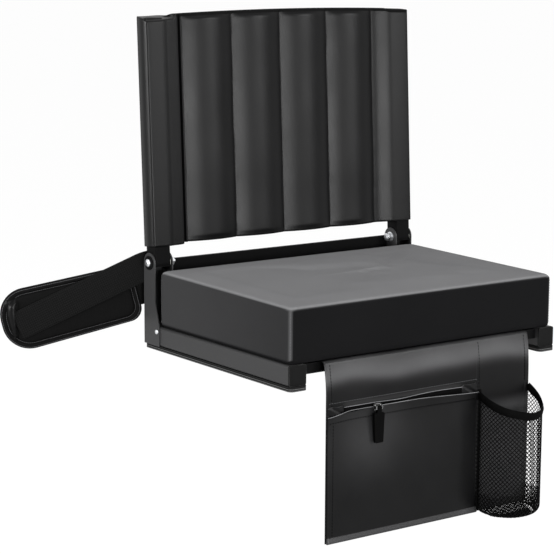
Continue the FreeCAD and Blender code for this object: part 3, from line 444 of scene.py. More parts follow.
def loft(rings):
    """Points and faces of a closed skin over rings that all have the same number of points."""
    count = len(rings[0])
    faces = []
    for row in range(len(rings) - 1):
        base = row * count
        for i in range(count):
            j = (i + 1) % count
            faces.append((base + i, base + j, base + count + j, base + count + i))
    faces.append(tuple(range(count - 1, -1, -1)))
    base = (len(rings) - 1) * count
    faces.append(tuple(range(base, base + count)))
    return np.concatenate(rings), faces


cushion = make_piece("cushion", *loft(rounded_rings()), seat_cloth)
cushion_swell = 0.0015
start = read_points(cushion) * 1000
from_edges = cushion_half - np.abs(start[:, :2])
top_free = soft_step((from_edges.min(axis=1) - 8.0) / 60.0)
top_free *= start[:, 2] > cushion_top - cushion_round
side_free = soft_step((start[:, 2] - 38.0) / 16.0) * soft_step((94.0 - start[:, 2]) / 16.0)
side_free *= soft_step((from_edges.max(axis=1) - 8.0) / 40.0)
swell(cushion, 1.2, cushion_swell, np.maximum(top_free, side_free))
facing = np.empty(len(cushion.data.vertices) * 3)
cushion.data.vertices.foreach_get("normal", facing)
facing = facing.reshape(-1, 3)
spot = read_points(cushion) * 1000
from_corner = (cushion_half - np.abs(spot[:, :2])).max(axis=1)
# Painted light: a painted highlight up each corner seam, both sides painted a little paler towards the rear,
# and the top painted pale as if lit from above.
seam_highlight_share = 0.4 * np.clip((5.0 - from_corner) / 3.1, 0, 1)
seam_highlight_share *= (spot[:, 2] > 37) & (facing[:, 2] < 0.5)
side_light_share = 0.125 * soft_step((np.abs(facing[:, 0]) - 0.6) / 0.3)
side_light_share *= np.clip((spot[:, 2] - 34.6) / 1.4, 0, 1)
side_light_share *= 1 + 0.3 * spot[:, 1] / cushion_half[1]
top_light_share = soft_step((facing[:, 2] - 0.4) / 0.4)
set_painted_light(cushion, np.maximum(np.maximum(top_light_share, side_light_share), seam_highlight_share))
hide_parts("cushion_cover", "cushion_foam")
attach(cushion, "seat")
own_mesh(cushion)


# Stitches of the cushion's four corner seams: a lockstitch in a dull grey black thread that
# runs up each corner from the hem to the top edge.
def start_tree(name, *sockets):
    """A Geometry Nodes tree with geometry going in and out, and its named inputs."""
    tree = bpy.data.node_groups.new(name, "GeometryNodeTree")
    for label, kind in (("Geometry", "Geometry"), *sockets):
        tree.interface.new_socket(label, in_out="INPUT", socket_type="NodeSocket" + kind)
    tree.interface.new_socket("Geometry", in_out="OUTPUT", socket_type="NodeSocketGeometry")
    return tree, put(tree, "NodeGroupInput"), put(tree, "NodeGroupOutput")


stitch_tree, into, out = start_tree(
    "stitch_row", ("Pitch", "Float"), ("Stitch Length", "Float"), ("Thread Width", "Float"),
    ("Thread", "Material"))
to_curve = put(stitch_tree, "GeometryNodeMeshToCurve")
paced = put(stitch_tree, "GeometryNodeResampleCurve", mode="LENGTH")
bead = put(stitch_tree, "GeometryNodeMeshUVSphere", {"Segments": 6, "Rings": 5, "Radius": 0.5})
size = put(stitch_tree, "ShaderNodeCombineXYZ")
formed = put(stitch_tree, "GeometryNodeTransform")
heading = put(stitch_tree, "GeometryNodeInputTangent")
aim = put(stitch_tree, "FunctionNodeAlignRotationToVector", axis="Z")
sown = put(stitch_tree, "GeometryNodeInstanceOnPoints")
real = put(stitch_tree, "GeometryNodeRealizeInstances")
coloured = put(stitch_tree, "GeometryNodeSetMaterial")
shaded = put(stitch_tree, "GeometryNodeSetShadeSmooth")
for link in (
    (into, "Geometry", to_curve, "Mesh"),
    (to_curve, "Curve", paced, "Curve"),
    (into, "Pitch", paced, "Length"),
    (into, "Thread Width", size, "X"),
    (into, "Thread Width", size, "Y"),
    (into, "Stitch Length", size, "Z"),
    (bead, "Mesh", formed, "Geometry"),
    (size, "Vector", formed, "Scale"),
    (heading, "Tangent", aim, "Vector"),
    (paced, "Curve", sown, "Points"),
    (formed, "Geometry", sown, "Instance"),
    (aim, "Rotation", sown, "Rotation"),
    (sown, "Instances", real, "Geometry"),
    (real, "Geometry", shaded, "Geometry"),
    (shaded, "Geometry", coloured, "Geometry"),
    (into, "Thread", coloured, "Material"),
    (coloured, "Geometry", out, "Geometry"),
):
    wire(stitch_tree, *link)


def run_tree(piece, tree, **inputs):
    """Runs a tree on a piece, its named inputs set by identifier, and keeps the plain mesh."""
    step = piece.modifiers.new(tree.name, "NODES")
    step.node_group = tree
    for item in tree.interface.items_tree:
        if item.item_type == "SOCKET" and item.in_out == "INPUT" and item.name in inputs:
            step[item.identifier] = inputs[item.name]
    depsgraph = bpy.context.evaluated_depsgraph_get()
    mesh = bpy.data.meshes.new_from_object(piece.evaluated_get(depsgraph))
    piece.modifiers.clear()
    old = piece.data
    piece.data = mesh
    mesh.name = piece.name
    bpy.data.meshes.remove(old)


def row_edges(lines):
    """Points of several lines in one list, and the edges along each line."""
    points, edges = [], []
    for path in lines:
        start = len(points)
        points.extend(tuple(point) for point in path)
        edges.extend((start + i, start + i + 1) for i in range(len(path) - 1))
    return points, edges


def wire_piece(name, points, edges, material):
    """A piece of bare edges between points in millimetres."""
    mesh = bpy.data.meshes.new(name)
    mesh.from_pydata((np.asarray(points, float) * 0.001).tolist(), edges, [])
    mesh.materials.append(material)
    piece = bpy.data.objects.new(name, mesh)
    bpy.context.scene.collection.objects.link(piece)
    return piece


def sew(name, lines, body, thread, pitch, length, width):
    """Rows of stitches along lines of points in millimetres, riding on one body."""
    piece = wire_piece(name, *row_edges(lines), thread)
    run_tree(piece, stitch_tree, **{"Pitch": pitch * 0.001, "Stitch Length": length * 0.001,
                                    "Thread Width": width * 0.001, "Thread": thread})
    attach(piece, body)


grey_thread = speckled("grey_thread", 2400.0, 300.0, (neutral(0.02, 0.001), neutral(0.1, 0.004)),
                       (0.5, 0.75), (0.4, 0.0002), specular=0.3, colour_by="Height")
cushion_shape = read_points(cushion) * 1000
corner_lines = []
for x_sign in (-1, 1):
    for y_sign in (-1, 1):
        toward = cushion_shape[:, 0] * x_sign + cushion_shape[:, 1] * y_sign
        path = []
        for z in np.arange(38.0, 95.0, 3.0):
            near = np.abs(cushion_shape[:, 2] - z) < 4.0
            best = np.argmax(np.where(near, toward, -1e9))
            path.append((*cushion_shape[best, :2], z))
        corner_lines.append(path)
sew("cushion_stitches", corner_lines, "seat", grey_thread,
    pitch=3.2, length=2.3, width=0.8)

# Back cover: coated cloth sewn as a sleeve over each upright, with four foam channels between
# them. Each channel is held by a sewn seam, a deep fold runs along the left sleeve, and a
# dull tape binds the top edge and the lower hem.
coated_cloth = coated_cloth_material("coated_cloth", neutral(0.001, 0.0001), neutral(0.0024, 0.0001),
                                     0.3, 0.1)
hem_tape = speckled("hem_tape", 1300.0, 60.0, (neutral(0.0015), neutral(0.0045)), (0.65, 0.85),
                    (0.4, 0.0003), specular=0.03)
hinge_y, hinge_z = 159.5, 113.4
lean = math.radians(3.0)
back_low, back_high = 23.0, 318.5
sleeve_outside, sleeve_step, right_step, fold_x = 216.3, 189.0, 189.0, 163.4
fold_width, fold_depth = 2.1, 6.4
seam_x = [-157.0, -78.5, 0.0, 78.5, 157.0]
sleeve_front, crest, valley, strip_front = -12.5, -11.8, -2.4, -8.0
sleeve_rear, panel_rear, sleeve_turn = 12.5, 4.0, 3.2
sleeve_middle, sleeve_half = 204.0, 23.0
rear_start, rear_run, middle_depth = 188.2, 31.2, 1.0
top_edge, top_round, end_round = 5.5, 2.6, 1.2


def leaned_place(points):
    """Points given as across, behind the hinge plane and up from the hinge, put in the frame."""
    x, v, s = np.asarray(points, float).T
    y = hinge_y + v * math.cos(lean) + s * math.sin(lean)
    z = hinge_z - v * math.sin(lean) + s * math.cos(lean)
    return np.column_stack([x, y, z])


def waves(along, seed, lengths, amounts):
    """A fixed sum of slow waves along a line."""
    turn = np.random.default_rng(seed).uniform(0, 2 * math.pi, len(lengths))
    total = np.zeros(np.shape(along))
    for length, amount, start in zip(lengths, amounts, turn):
        total = total + amount * np.sin(2 * math.pi * np.asarray(along) / length + start)
    return total


def front_stations():
    """Places across the front of the back, closer together beside each seam."""
    side = [-sleeve_outside + sleeve_turn, -209, -204, -199, -194, -189, -186, -184, -182.5, -181, -179.5,
            -177.5, -175, -172, -169, -167, -166.2, -165.6, -165, -164.4, -163.8, -163.2, -162.6, -162,
            -161.4, -160.8, -160, -159, -158.2, -157.6]
    places = list(side)
    shares = np.array([0.12, 0.26, 0.4, 0.54, 0.66, 0.76, 0.84, 0.9, 0.94, 0.97, 0.99])
    shares = np.concatenate([-shares[::-1], [0], shares])
    for left, right in zip(seam_x, seam_x[1:]):
        places.append(left)
        places.extend((left + right) / 2 + (right - left) / 2 * shares)
    places.append(seam_x[-1])
    places.extend(-x for x in reversed(side))
    return np.array(places)


def front_depth(x, s):
    """How far the front of the cover stands from the hinge plane."""
    away = np.abs(x)
    depth = sleeve_front - 0.2 + ((away - sleeve_middle) / sleeve_half) ** 2
    shoulder = (x > -sleeve_step) & (x <= -fold_x)
    t = (sleeve_step - away[shoulder]) / (sleeve_step - fold_x)
    depth[shoulder] = sleeve_front + 0.8 + (strip_front - sleeve_front - 0.8) * t ** 1.1
    strip = (x > -fold_x) & (x <= seam_x[0])
    t = (fold_x - away[strip]) / (fold_x - seam_x[-1])
    depth[strip] = strip_front + (valley - strip_front) * t ** 2
    depth += (x < 0) * fold_depth * np.exp(-((away - fold_x) / fold_width) ** 4)
    slope = (x >= seam_x[-1]) & (x < right_step)
    t = (x[slope] - seam_x[-1]) / (right_step - seam_x[-1])
    depth[slope] = valley + (sleeve_front + 0.2 - valley) * soft_step(t)
    low_end = soft_step((s - back_low - 1.5) / 7.0)
    high_end = soft_step((back_high - top_edge - s) / 4.0)
    for left, right in zip(seam_x, seam_x[1:]):
        inside = (x >= left) & (x <= right)
        t = (x[inside] - (left + right) / 2) / ((right - left) / 2)
        full = (1 - t ** 2) * (0.9 + 0.1 * low_end) * (0.75 + 0.25 * high_end)
        depth[inside] = valley + (crest - valley) * full
    for number, seam in enumerate(seam_x):
        near = np.exp(-np.abs(x - seam) / 7.0) * (np.abs(x - seam) > 0.2)
        depth += near * waves(s, 40 + number, (23.0, 37.0, 61.0), (0.05, 0.08, 0.06))
    for number, (left, right) in enumerate(zip(seam_x, seam_x[1:])):
        inside = (x > left) & (x < right)
        depth += inside * waves(s, 60 + number, (90.0, 160.0), (0.12, 0.22))
    return depth


def rear_depth(x):
    """How far the rear of the cover stands behind the hinge plane."""
    return sleeve_rear + (panel_rear - sleeve_rear) * soft_step((rear_start - np.abs(x)) / rear_run)


back_stations = front_stations()
sleeve_stations = np.array([212.0, 204, 196, 190, 186, 182, 178, 174, 170, 166, 162, 158])
rear_stations = np.concatenate([sleeve_stations, np.arange(150, -151, -15.0), -sleeve_stations[::-1]])


def back_ring(s, front_in=0.0, rear_in=0.0, side_in=0.0, rise=None, gather=0.0):
    """One closed section of the cover, drawn in at its front, rear and sides."""
    x = back_stations * (1 - side_in / sleeve_outside)
    front = np.minimum(front_depth(back_stations, s) + front_in, 3.0)
    ring = [np.column_stack([x, front])]
    turn = np.radians(np.linspace(-75, 75, 7))
    corner = np.column_stack([
        sleeve_outside - sleeve_turn + sleeve_turn * np.cos(turn) - side_in,
        (sleeve_rear - sleeve_turn) * np.sign(turn) + sleeve_turn * np.sin(turn)])
    corner[:, 1] = np.clip(corner[:, 1], sleeve_front + front_in, sleeve_rear - rear_in)
    ring.append(corner)
    rear = rear_depth(rear_stations) - rear_in
    ring.append(np.column_stack([rear_stations * (1 - side_in / sleeve_outside), rear]))
    other = corner[::-1].copy()
    other[:, 0] *= -1
    ring.append(other)
    flat = np.concatenate(ring)
    flat[:, 1] = middle_depth + (flat[:, 1] - middle_depth) * (1 - gather)
    height = np.full(len(flat), float(s))
    if rise is not None:
        height = height + rise(flat[:, 0], flat[:, 1])
    return leaned_place(np.column_stack([flat, height]))


def top_line(x, depth):
    """The top edge bows up between the sleeves, and the left sleeve's top slopes to the front."""
    share = x / 205.0
    forward = np.clip((sleeve_rear - depth) / 25.0, 0, 1)
    slope = 6.5 * soft_step((-x - 168.0) / 6.0) + 2.0 * soft_step((x - 176.0) / 8.0)
    return 3.8 + 1.2 * share + 4.0 * np.maximum(1 - share ** 2, 0) - slope * forward


def low_line(x, depth):
    """The left sleeve reaches a little lower than the channels."""
    return -2.2 * soft_step((-x - 160.0) / 10.0)


def shaped(line, share):
    """A share of an edge line."""
    return lambda x, depth: share * line(x, depth)


back_rings = [back_ring(back_low + 0.6, front_in=1.6, rear_in=1.6, side_in=0.8, rise=low_line),
              back_ring(back_low, front_in=0.5, rear_in=0.5, side_in=0.2, rise=low_line),
              back_ring(back_low + 1.2, rise=low_line)]
for s in np.concatenate([[25.5, 27.0, 28.5, 30.0, 32.0, 34.0, 36.0], np.arange(39.0, 300.0, 4.5),
                         [301.0, 303.0]]):
    back_rings.append(back_ring(s, rise=shaped(low_line, soft_step((38.0 - s) / 13.5))))
for s in (305.0, 306.5, 308.0, 309.2, 310.4, 311.6, 312.6):
    back_rings.append(back_ring(s, rise=shaped(top_line, soft_step((s - 303.0) / 10.0))))
for step in range(1, 7):
    angle = step / 6 * math.pi / 2
    inset = top_round * (1 - math.cos(angle))
    back_rings.append(back_ring(
        back_high - top_edge + top_round * math.sin(angle), front_in=inset, rear_in=inset,
        side_in=end_round * (1 - math.cos(angle)), rise=top_line))
for gather in (0.15, 0.35, 0.6, 0.85, 0.98):
    back_rings.append(back_ring(
        back_high - top_edge + top_round + 0.3 * gather, front_in=top_round, rear_in=top_round,
        side_in=end_round + 1.5 * gather, rise=top_line, gather=gather))
back_pad = make_piece("back_cover_padded", *loft(back_rings[::-1]), coated_cloth)
back_pad.data.materials.append(hem_tape)
binding_rows, hem_rows = 12, 3
for face in back_pad.data.polygons:
    row, x = face.index // len(back_rings[0]), face.center.x * 1000
    bound = row < binding_rows and x > -170
    hemmed = row >= len(back_rings) - 1 - hem_rows and abs(x) < 171
    face.material_index = int(bound or hemmed)
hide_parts("back_cover", "back_foam")
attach(back_pad, "backrest")

# Shoulder strap: two runs of woven polyester webbing screwed to the rear bar behind washers.
# The upper run lies over the pad and is sewn to it, and the lower run goes into its near end.
weave, into, out = start_group("weave", {"Pitch": 0.0016}, ("Height",))
flat_place = put(weave, "ShaderNodeUVMap", uv_map="weave")
parts = put(weave, "ShaderNodeSeparateXYZ")
wire(weave, flat_place, "UV", parts, "Vector")


def ridge(tree, source, pitch):
    """A wave from -1 to 1 along one direction."""
    step = put(tree, "ShaderNodeMath", operation="DIVIDE")
    tree.links.new(source, step.inputs[0])
    tree.links.new(pitch, step.inputs[1])
    turned = put(tree, "ShaderNodeMath", {1: 2 * math.pi}, operation="MULTIPLY")
    wire(tree, step, "Value", turned, 0)
    wave = put(tree, "ShaderNodeMath", operation="SINE")
    wire(tree, turned, "Value", wave, 0)
    return wave.outputs["Value"]


along = ridge(weave, parts.outputs["X"], into.outputs["Pitch"])
across = ridge(weave, parts.outputs["Y"], into.outputs["Pitch"])
crossed = put(weave, "ShaderNodeMath", operation="MULTIPLY")
weave.links.new(along, crossed.inputs[0])
weave.links.new(across, crossed.inputs[1])
spread = put(weave, "ShaderNodeMapRange", {"From Min": -1.0, "From Max": 1.0})
wire(weave, crossed, "Value", spread, "Value")
wire(weave, spread, "Result", out, "Height")

black_webbing, tree, shader = start_material("black_webbing", neutral(0.003), 0.75, specular=0.03)
threads = use_group(tree, weave, Pitch=0.003)
colour_between(tree, threads.outputs["Height"], neutral(0.0005), neutral(0.008), shader.inputs["Base Color"])
value_between(tree, threads.outputs["Height"], 0.8, 0.6, shader.inputs["Roughness"])
raise_by(tree, threads.outputs["Height"], 0.8, 0.0005, shader)

webbing_width, webbing_thickness, webbing_y = 38.0, 1.8, 173.88
swing = math.radians(32.0)
strap_out = np.array([-math.cos(swing), math.sin(swing), 0])
strap_normal = np.array([math.sin(swing), math.cos(swing), 0])
strap_root = np.array([-216.0, webbing_y, 0])
anchor_x, anchor_z = 162.4, 94.2
upper_start, upper_slope, upper_run = 106.5, math.tan(math.radians(25.4)), 165.0
pad_start, pad_length, pad_stand = 8.0, 183.0, 7.3
pad_fall, pad_drop = math.radians(13.9), 18.95


def strap_point(run, stand, height):
    """A point out along the strap, standing off its plane, at a height."""
    return strap_root + strap_out * run + strap_normal * stand + np.array([0, 0, height])


def pad_height(run):
    """Height of the pad's middle line, which falls away from the seat."""
    return anchor_z - pad_drop - math.tan(pad_fall) * run


def path_lengths(points):
    """How far along a path each of its points lies."""
    return np.concatenate([[0], np.cumsum(np.linalg.norm(np.diff(points, axis=0), axis=1))])


def even_points(points, count):
    """Evenly spaced points on a path."""
    lengths = path_lengths(points)
    marks = np.linspace(0, lengths[-1], count)
    return np.column_stack([np.interp(marks, lengths, axis) for axis in points.T])


def smooth_route(points, spacing):
    """Evenly spaced points on a soft curve through a few places."""
    points = np.asarray(points, float)
    for _ in range(3):
        near = points[:-1] * 0.75 + points[1:] * 0.25
        far = points[:-1] * 0.25 + points[1:] * 0.75
        points = np.concatenate([points[:1], np.stack([near, far], 1).reshape(-1, 3), points[-1:]])
    return even_points(points, max(2, int(path_lengths(points)[-1] / spacing)))


def route_frame(route):
    """Unit vectors across and up from a route, at each of its points."""
    heading = np.gradient(route, axis=0)
    heading /= np.linalg.norm(heading, axis=1, keepdims=True)
    outward = np.column_stack([-heading[:, 1], heading[:, 0], np.zeros(len(route))])
    outward /= np.linalg.norm(outward, axis=1, keepdims=True)
    upward = np.cross(heading, outward)
    return outward, upward * np.sign(upward[:, 2:3])


def webbing_strip(name, route, material):
    """Webbing on edge along a route, with rounded selvedges and a flat map for its weave."""
    outward, upward = route_frame(route)
    half_width, half_thick = webbing_width / 2, webbing_thickness / 2
    shares = np.array([-1, -0.97, -0.9, -0.6, -0.3, 0, 0.3, 0.6, 0.9, 0.97, 1])
    thin = np.array([0.35, 0.8, 1.0, 0.9, 0.9, 0.9, 0.9, 0.9, 1.0, 0.8, 0.35])
    profile = [(a * half_width, t * half_thick) for a, t in zip(shares, thin)]
    profile += [(a * half_width, -t * half_thick) for a, t in zip(shares[::-1], thin[::-1])]
    rings = [np.array([route[i] + upward[i] * a + outward[i] * b for a, b in profile])
             for i in range(len(route))]
    piece = make_piece(name, *loft(rings), material)
    gone = path_lengths(route) * 0.001
    flat = np.array([[gone[i], a * 0.001] for i in range(len(route)) for a, _ in profile])
    layer = piece.data.uv_layers.new(name="weave")
    corner = np.empty(len(piece.data.loops), int)
    piece.data.loops.foreach_get("vertex_index", corner)
    layer.data.foreach_set("uv", flat[corner].ravel())
    return piece


upper_route = smooth_route([
    (-anchor_x + 19, webbing_y, anchor_z), (-anchor_x - 6, webbing_y, anchor_z),
    (-184, webbing_y, 99.0), (-197, webbing_y + 0.3, 107.0),
    *(strap_point(run, stand, upper_start - upper_slope * run)
      for run, stand in ((-6, 2.6), (16, 0), (60, 0), (110, 0), (upper_run, 0)))], 3.0)
upper_webbing = webbing_strip("upper_webbing", upper_route, black_webbing)
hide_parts("strap_upper_webbing")
lower_route = smooth_route([
    (anchor_x + 19, webbing_y, anchor_z), (anchor_x - 19, webbing_y, anchor_z),
    (0, webbing_y + 3.2, anchor_z - 7.5), (-anchor_x, webbing_y + 7.1, anchor_z - 16.8),
    (-201.7, webbing_y + 8.2, pad_height(0)), strap_point(pad_start, pad_stand, pad_height(pad_start)),
    strap_point(pad_start + 26, pad_stand, pad_height(pad_start + 26))], 3.0)
lower_webbing = webbing_strip("lower_webbing", lower_route, black_webbing)
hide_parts("strap_lower_webbing")
for strip in (upper_webbing, lower_webbing):
    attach(strip, "seat")

# Shoulder pad: foam in matt woven cloth, sewn together round its edge with a stitched border.
# It is blunt at its near end and rounded at its far end.
pad_near_half, pad_far_half = 37.5, 41.0
pad_far_round, pad_near_round, pad_low_round = 36.0, 16.0, 18.0
pad_along = strap_out * math.cos(pad_fall) - np.array([0, 0, math.sin(pad_fall)])
pad_wide = np.array([0, 0, math.cos(pad_fall)]) + strap_out * math.sin(pad_fall)
pad_front = np.cross(pad_wide, pad_along)
pad_origin = strap_point(pad_start, pad_stand, pad_height(pad_start))


def pad_outline():
    """The pad's edge seen flat, as evenly spaced points."""
    corners = [
        (pad_low_round, -pad_near_half, pad_low_round),
        (pad_length - pad_far_round, -pad_far_half, pad_far_round),
        (pad_length - pad_far_round, pad_far_half, pad_far_round),
        (pad_near_round, pad_near_half, pad_near_round)]
    points = []
    for (x, y, r), first in zip(corners, (180, 270, 0, 90)):
        centre = np.array([x, y - math.copysign(r, y)])
        for angle in np.linspace(first, first + 90, 13):
            turn = math.radians(angle)
            points.append(centre + r * np.array([math.cos(turn), math.sin(turn)]))
    return even_points(np.array(points + points[:1]), 211)[:-1]


pad_rim = pad_outline()
pad_core = np.column_stack([np.clip(pad_rim[:, 0], 38.0, pad_length - 42.0), np.zeros(len(pad_rim))])
pad_reach = 40.0


def pad_ring(inset):
    """A line round the pad, drawn in from its edge towards its middle."""
    return pad_core + (pad_rim - pad_core) * (1 - inset / pad_reach)


def pad_relief(flat):
    """The front stands up past the webbing's end, behind a crease."""
    along, wide = flat.T
    past = along - (upper_run - pad_start - wide * math.sin(pad_fall)) / math.cos(pad_fall)
    pillow = 3.6 * soft_step(past / 3.0) * soft_step((pad_length - 8.5 - along) / 9.0)
    pillow *= soft_step((34.0 - np.abs(wide)) / 12.0)
    crease = 2.6 * np.exp(-(past / 2.2) ** 2) * soft_step((29.0 - np.abs(wide)) / 6.0)
    return pillow - crease


def pad_place(flat, depth):
    """Points on the pad: along and across it, and in front of its middle."""
    flat = np.asarray(flat, float)
    depth = np.broadcast_to(depth, len(flat))
    return pad_origin + flat[:, :1] * pad_along + flat[:, 1:2] * pad_wide + depth[:, None] * pad_front


pad_edge = (
    (0.0, 0.0), (0.5, 2.2), (1.6, 3.7), (3.2, 4.8), (4.8, 5.1), (6.2, 4.6), (7.2, 3.3), (7.8, 2.8),
    (8.4, 3.3), (9.6, 4.6), (11.5, 5.4), (14.0, 5.8),
    *((inset, 5.9) for inset in (16.5, 19.0, 21.5, 24.0, 27.0, 30.0, 33.5, 37.0, 39.6)))
pad_rings = [pad_place(pad_ring(inset), -depth) for inset, depth in pad_edge[::-1]]
for inset, depth in pad_edge[1:]:
    flat = pad_ring(inset)
    pad_rings.append(pad_place(flat, depth + pad_relief(flat) * min(1.0, inset / 9.0)))
pad_cloth, tree, shader = start_material("pad_cloth", neutral(0.002), 0.66, specular=0.04)
place = put(tree, "ShaderNodeTexCoord")
pores = put(tree, "ShaderNodeTexVoronoi", {"Scale": 620.0, "Randomness": 0.35}, feature="F1")
wire(tree, place, "Object", pores, "Vector")
cloud = use_group(tree, speckle, **{"Scale": 1500.0, "Patch Scale": 40.0})
colour_between(tree, cloud.outputs["Patch"], neutral(0.0008), neutral(0.003), shader.inputs["Base Color"])
value_between(tree, cloud.outputs["Patch"], 0.58, 0.76, shader.inputs["Roughness"])
raise_by(tree, pores.outputs["Distance"], 0.5, 0.0006, shader)
pad = make_piece("shoulder_pad_cloth", *loft(pad_rings), pad_cloth)
pad.data.materials.append(coated_cloth)
for face in pad.data.polygons:
    away = np.array(face.center) * 1000 - pad_origin
    flat = np.array([[away @ pad_along, away @ pad_wide]])
    inside = flat[0, 0] < pad_length - 8.0 and abs(flat[0, 1]) < 33.0
    face.material_index = int(inside and away @ pad_front > 0 and pad_relief(flat)[0] > 1.2)
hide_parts("shoulder_pad")
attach(pad, "seat")

border_lines = []
for inset, depth in ((2.4, 4.5), (7.8, 3.1)):
    border = pad_ring(inset)
    border_lines.append(np.concatenate([pad_place(border, depth), pad_place(border[:1], depth)]))
sew("strap_stitches", border_lines, "seat", grey_thread, pitch=2.6, length=2.3, width=0.7)

# Organiser flap: one cut of coated cloth, doubled and hemmed, sewn under the cushion's front
# hem. It folds over the front bar and hangs, with a zip opening and a divider seam.
# flap_skin's paler colours are painted light, set per point on the flap and pocket below.
flap_skin = coated_cloth_material("flap_skin", neutral(0.0008, 0.0001), neutral(0.0035, 0.0002), 0.3, 0.1,
                                  painted_light=(neutral(0.03, 0.001), neutral(0.07, 0.002)))
flap_half, flap_face, flap_hem = 165.0, -154.05, -194.0
fold_y, fold_z, fold_round = -144.9, 30.4, 3.5
hang_top, hang_start, hang_out, hang_power = 27.6, -15.0, 4.73, 2.25
zip_z, zip_left, zip_right = -32.0, -139.0, 49.0
pocket_left, pocket_right, pocket_mouth = -165.0, 76.0, -37.0
flap_sheet = 1.7


def flap_route():
    """The flap's middle line from under the cushion to its hem, in the side view."""
    points = [(y, fold_z) for y in np.linspace(-119.0, -143.0, 6)]
    for angle in np.linspace(84, 12, 7):
        turn = math.radians(angle)
        points.append((fold_y - fold_round * math.cos(turn),
                       fold_z - fold_round + fold_round * math.sin(turn)))
    for z in np.linspace(25.5, -14.0, 15):
        share = (z - hang_start) / (hang_top - hang_start)
        points.append((flap_face + 1 + hang_out * share ** hang_power, z))
    for z in (*np.linspace(-17.0, -25.0, 5), -25.8, -26.4, -26.8, -27.1, -27.6, -28.5,
              *np.linspace(-31.0, flap_hem, 54)):
        points.append((flap_face + 1, z))
    return np.array(points)


flap_line = flap_route()
flap_along = np.gradient(flap_line, axis=0)
flap_along /= np.linalg.norm(flap_along, axis=1, keepdims=True)
flap_out = np.column_stack([flap_along[:, 1], -flap_along[:, 0]])
flap_columns = np.unique(np.concatenate([
    np.linspace(-flap_half, flap_half, 67), [-164.5, -163, -158.5, -157.5, -156.5],
    [74, 75, 76, 77, 78], [156.5, 157.5, 158.5, 163, 164.5]]))


def flap_surface(side):
    """Front or rear face of the flap, with its hems, divider seam and soft waves."""
    rows = []
    for (y, z), out_of in zip(flap_line, flap_out):
        hang = np.clip((26.0 - z) / 30.0, 0, 1) * (y < -142)
        away = flap_half - np.abs(flap_columns)
        thick = np.full(len(flap_columns), flap_sheet / 2)
        thick += 0.35 * (away < 7.5) * np.clip(away / 0.8, 0.0, 1) * hang
        thick -= 0.3 * np.exp(-((away - 7.5) / 0.9) ** 2) * hang
        thick -= 0.45 * np.exp(-((flap_columns - pocket_right) / 0.9) ** 2) * hang
        thick = thick * np.clip(0.35 + away / 1.2, 0, 1)
        if side > 0:
            lip = np.clip((-20.5 - z) / 6.2, 0, 1) * (z > -27.0)
            in_slot = np.clip((flap_columns + 141) / 3, 0, 1) * np.clip((51 - flap_columns) / 3, 0, 1)
            thick += 0.9 * lip * in_slot
        wave = waves(flap_columns, 7, (150.0, 95.0), (0.35, 0.25)) * math.exp(-((z - 4) / 20) ** 2)
        shift = side * thick + wave * hang
        rows.append(np.column_stack([flap_columns, y + out_of[0] * shift, z + out_of[1] * shift]))
    return rows


front_rows, rear_rows = flap_surface(1), flap_surface(-1)
flap_rings = [np.concatenate([front, rear[::-1]]) for front, rear in zip(front_rows, rear_rows)]
flap_points, flap_faces = loft(flap_rings)
flap_cloth = make_piece("flap_cloth", flap_points, flap_faces, flap_skin)
# Painted light on the flap: a painted highlight along its bend below the cushion, and the cloth behind the
# bottle net painted paler where the net shades it.
above_bend = flap_points[:, 2] - 10.0 - waves(flap_points[:, 0], 9, (210.0, 120.0), (2.0, 1.4))
bend_highlight = 0.86 * np.exp(-(above_bend / np.where(above_bend > 0, 17.0, 9.0)) ** 2)
bend_highlight *= flap_points[:, 1] < -145
behind_net_light = 0.45 * soft_step((flap_points[:, 0] - 80.0) / 8.0)
behind_net_light *= soft_step((-44.0 - flap_points[:, 2]) / 20.0)
set_painted_light(flap_cloth, np.maximum(bend_highlight, behind_net_light))
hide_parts("flap_top_strip", "flap_panel")
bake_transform(flap_cloth)

# Zip pocket front: one cut of the same cloth sewn to the flap along three sides, with a rolled
# hem at the bottom. It stands a little away from the flap in the middle.
pocket_fullness = 3.8
pocket_columns = np.linspace(pocket_left + 0.6, pocket_right, 61)
pocket_rows = np.concatenate([
    [-36.6, -37.2, -38.2, -39.4, -41, -43, -44.2, -44.8, -45.4, -46], np.linspace(-48, -184, 41),
    [-186.4, -187.2, -187.8, -188.6, -189.8, -191.2, -192.6, -193.6, -194.2]])


def pocket_surface(side):
    """Front or rear face of the pocket: full in its upper half, with a hem that turns forward."""
    rows = []
    u = (pocket_columns - pocket_left) / (pocket_right - pocket_left)
    edge = soft_step(np.minimum(u, 1 - u) / 0.16)
    arch = 5.0 * soft_step((pocket_columns + 165.0) / 40.0) * soft_step((90.0 - pocket_columns) / 130.0)
    for z in pocket_rows:
        w = np.clip((pocket_mouth - z) / (pocket_mouth - flap_hem), 0, 1)
        full = math.sin(math.pi * w) * edge
        plump = 0.7 + 0.5 * math.exp((z - pocket_mouth) / 6.0) + pocket_fullness * full
        depth = flap_face - 1.15 - plump
        depth += waves(pocket_columns + 0.5 * z, 21, (170.0, 88.0, 47.0), (0.42, 0.26, 0.1)) * full
        turn = 1.7 * np.clip((-186.6 - z) / 6.2, 0, 1) * (0.5 if z < -194.0 else 1.0)
        hem = 0.45 * soft_step((z + 45.4 + waves(pocket_columns, 23, (66.0, 38.0), (0.25, 0.2))) / 1.2)
        thick = 0.35 + (hem if side > 0 else 0.0)
        level = z + arch * math.exp((z - pocket_mouth) / 8.0)
        rows.append(np.column_stack([
            pocket_columns, depth - side * thick - (turn if side > 0 else 0),
            np.broadcast_to(level, len(u))]))
    return rows


pocket_rings = [np.concatenate([f, r[::-1]]) for f, r in zip(pocket_surface(1), pocket_surface(-1))]
pocket_points, pocket_faces = loft(pocket_rings)
pocket = make_piece("pocket_cloth", pocket_points, pocket_faces, flap_skin)
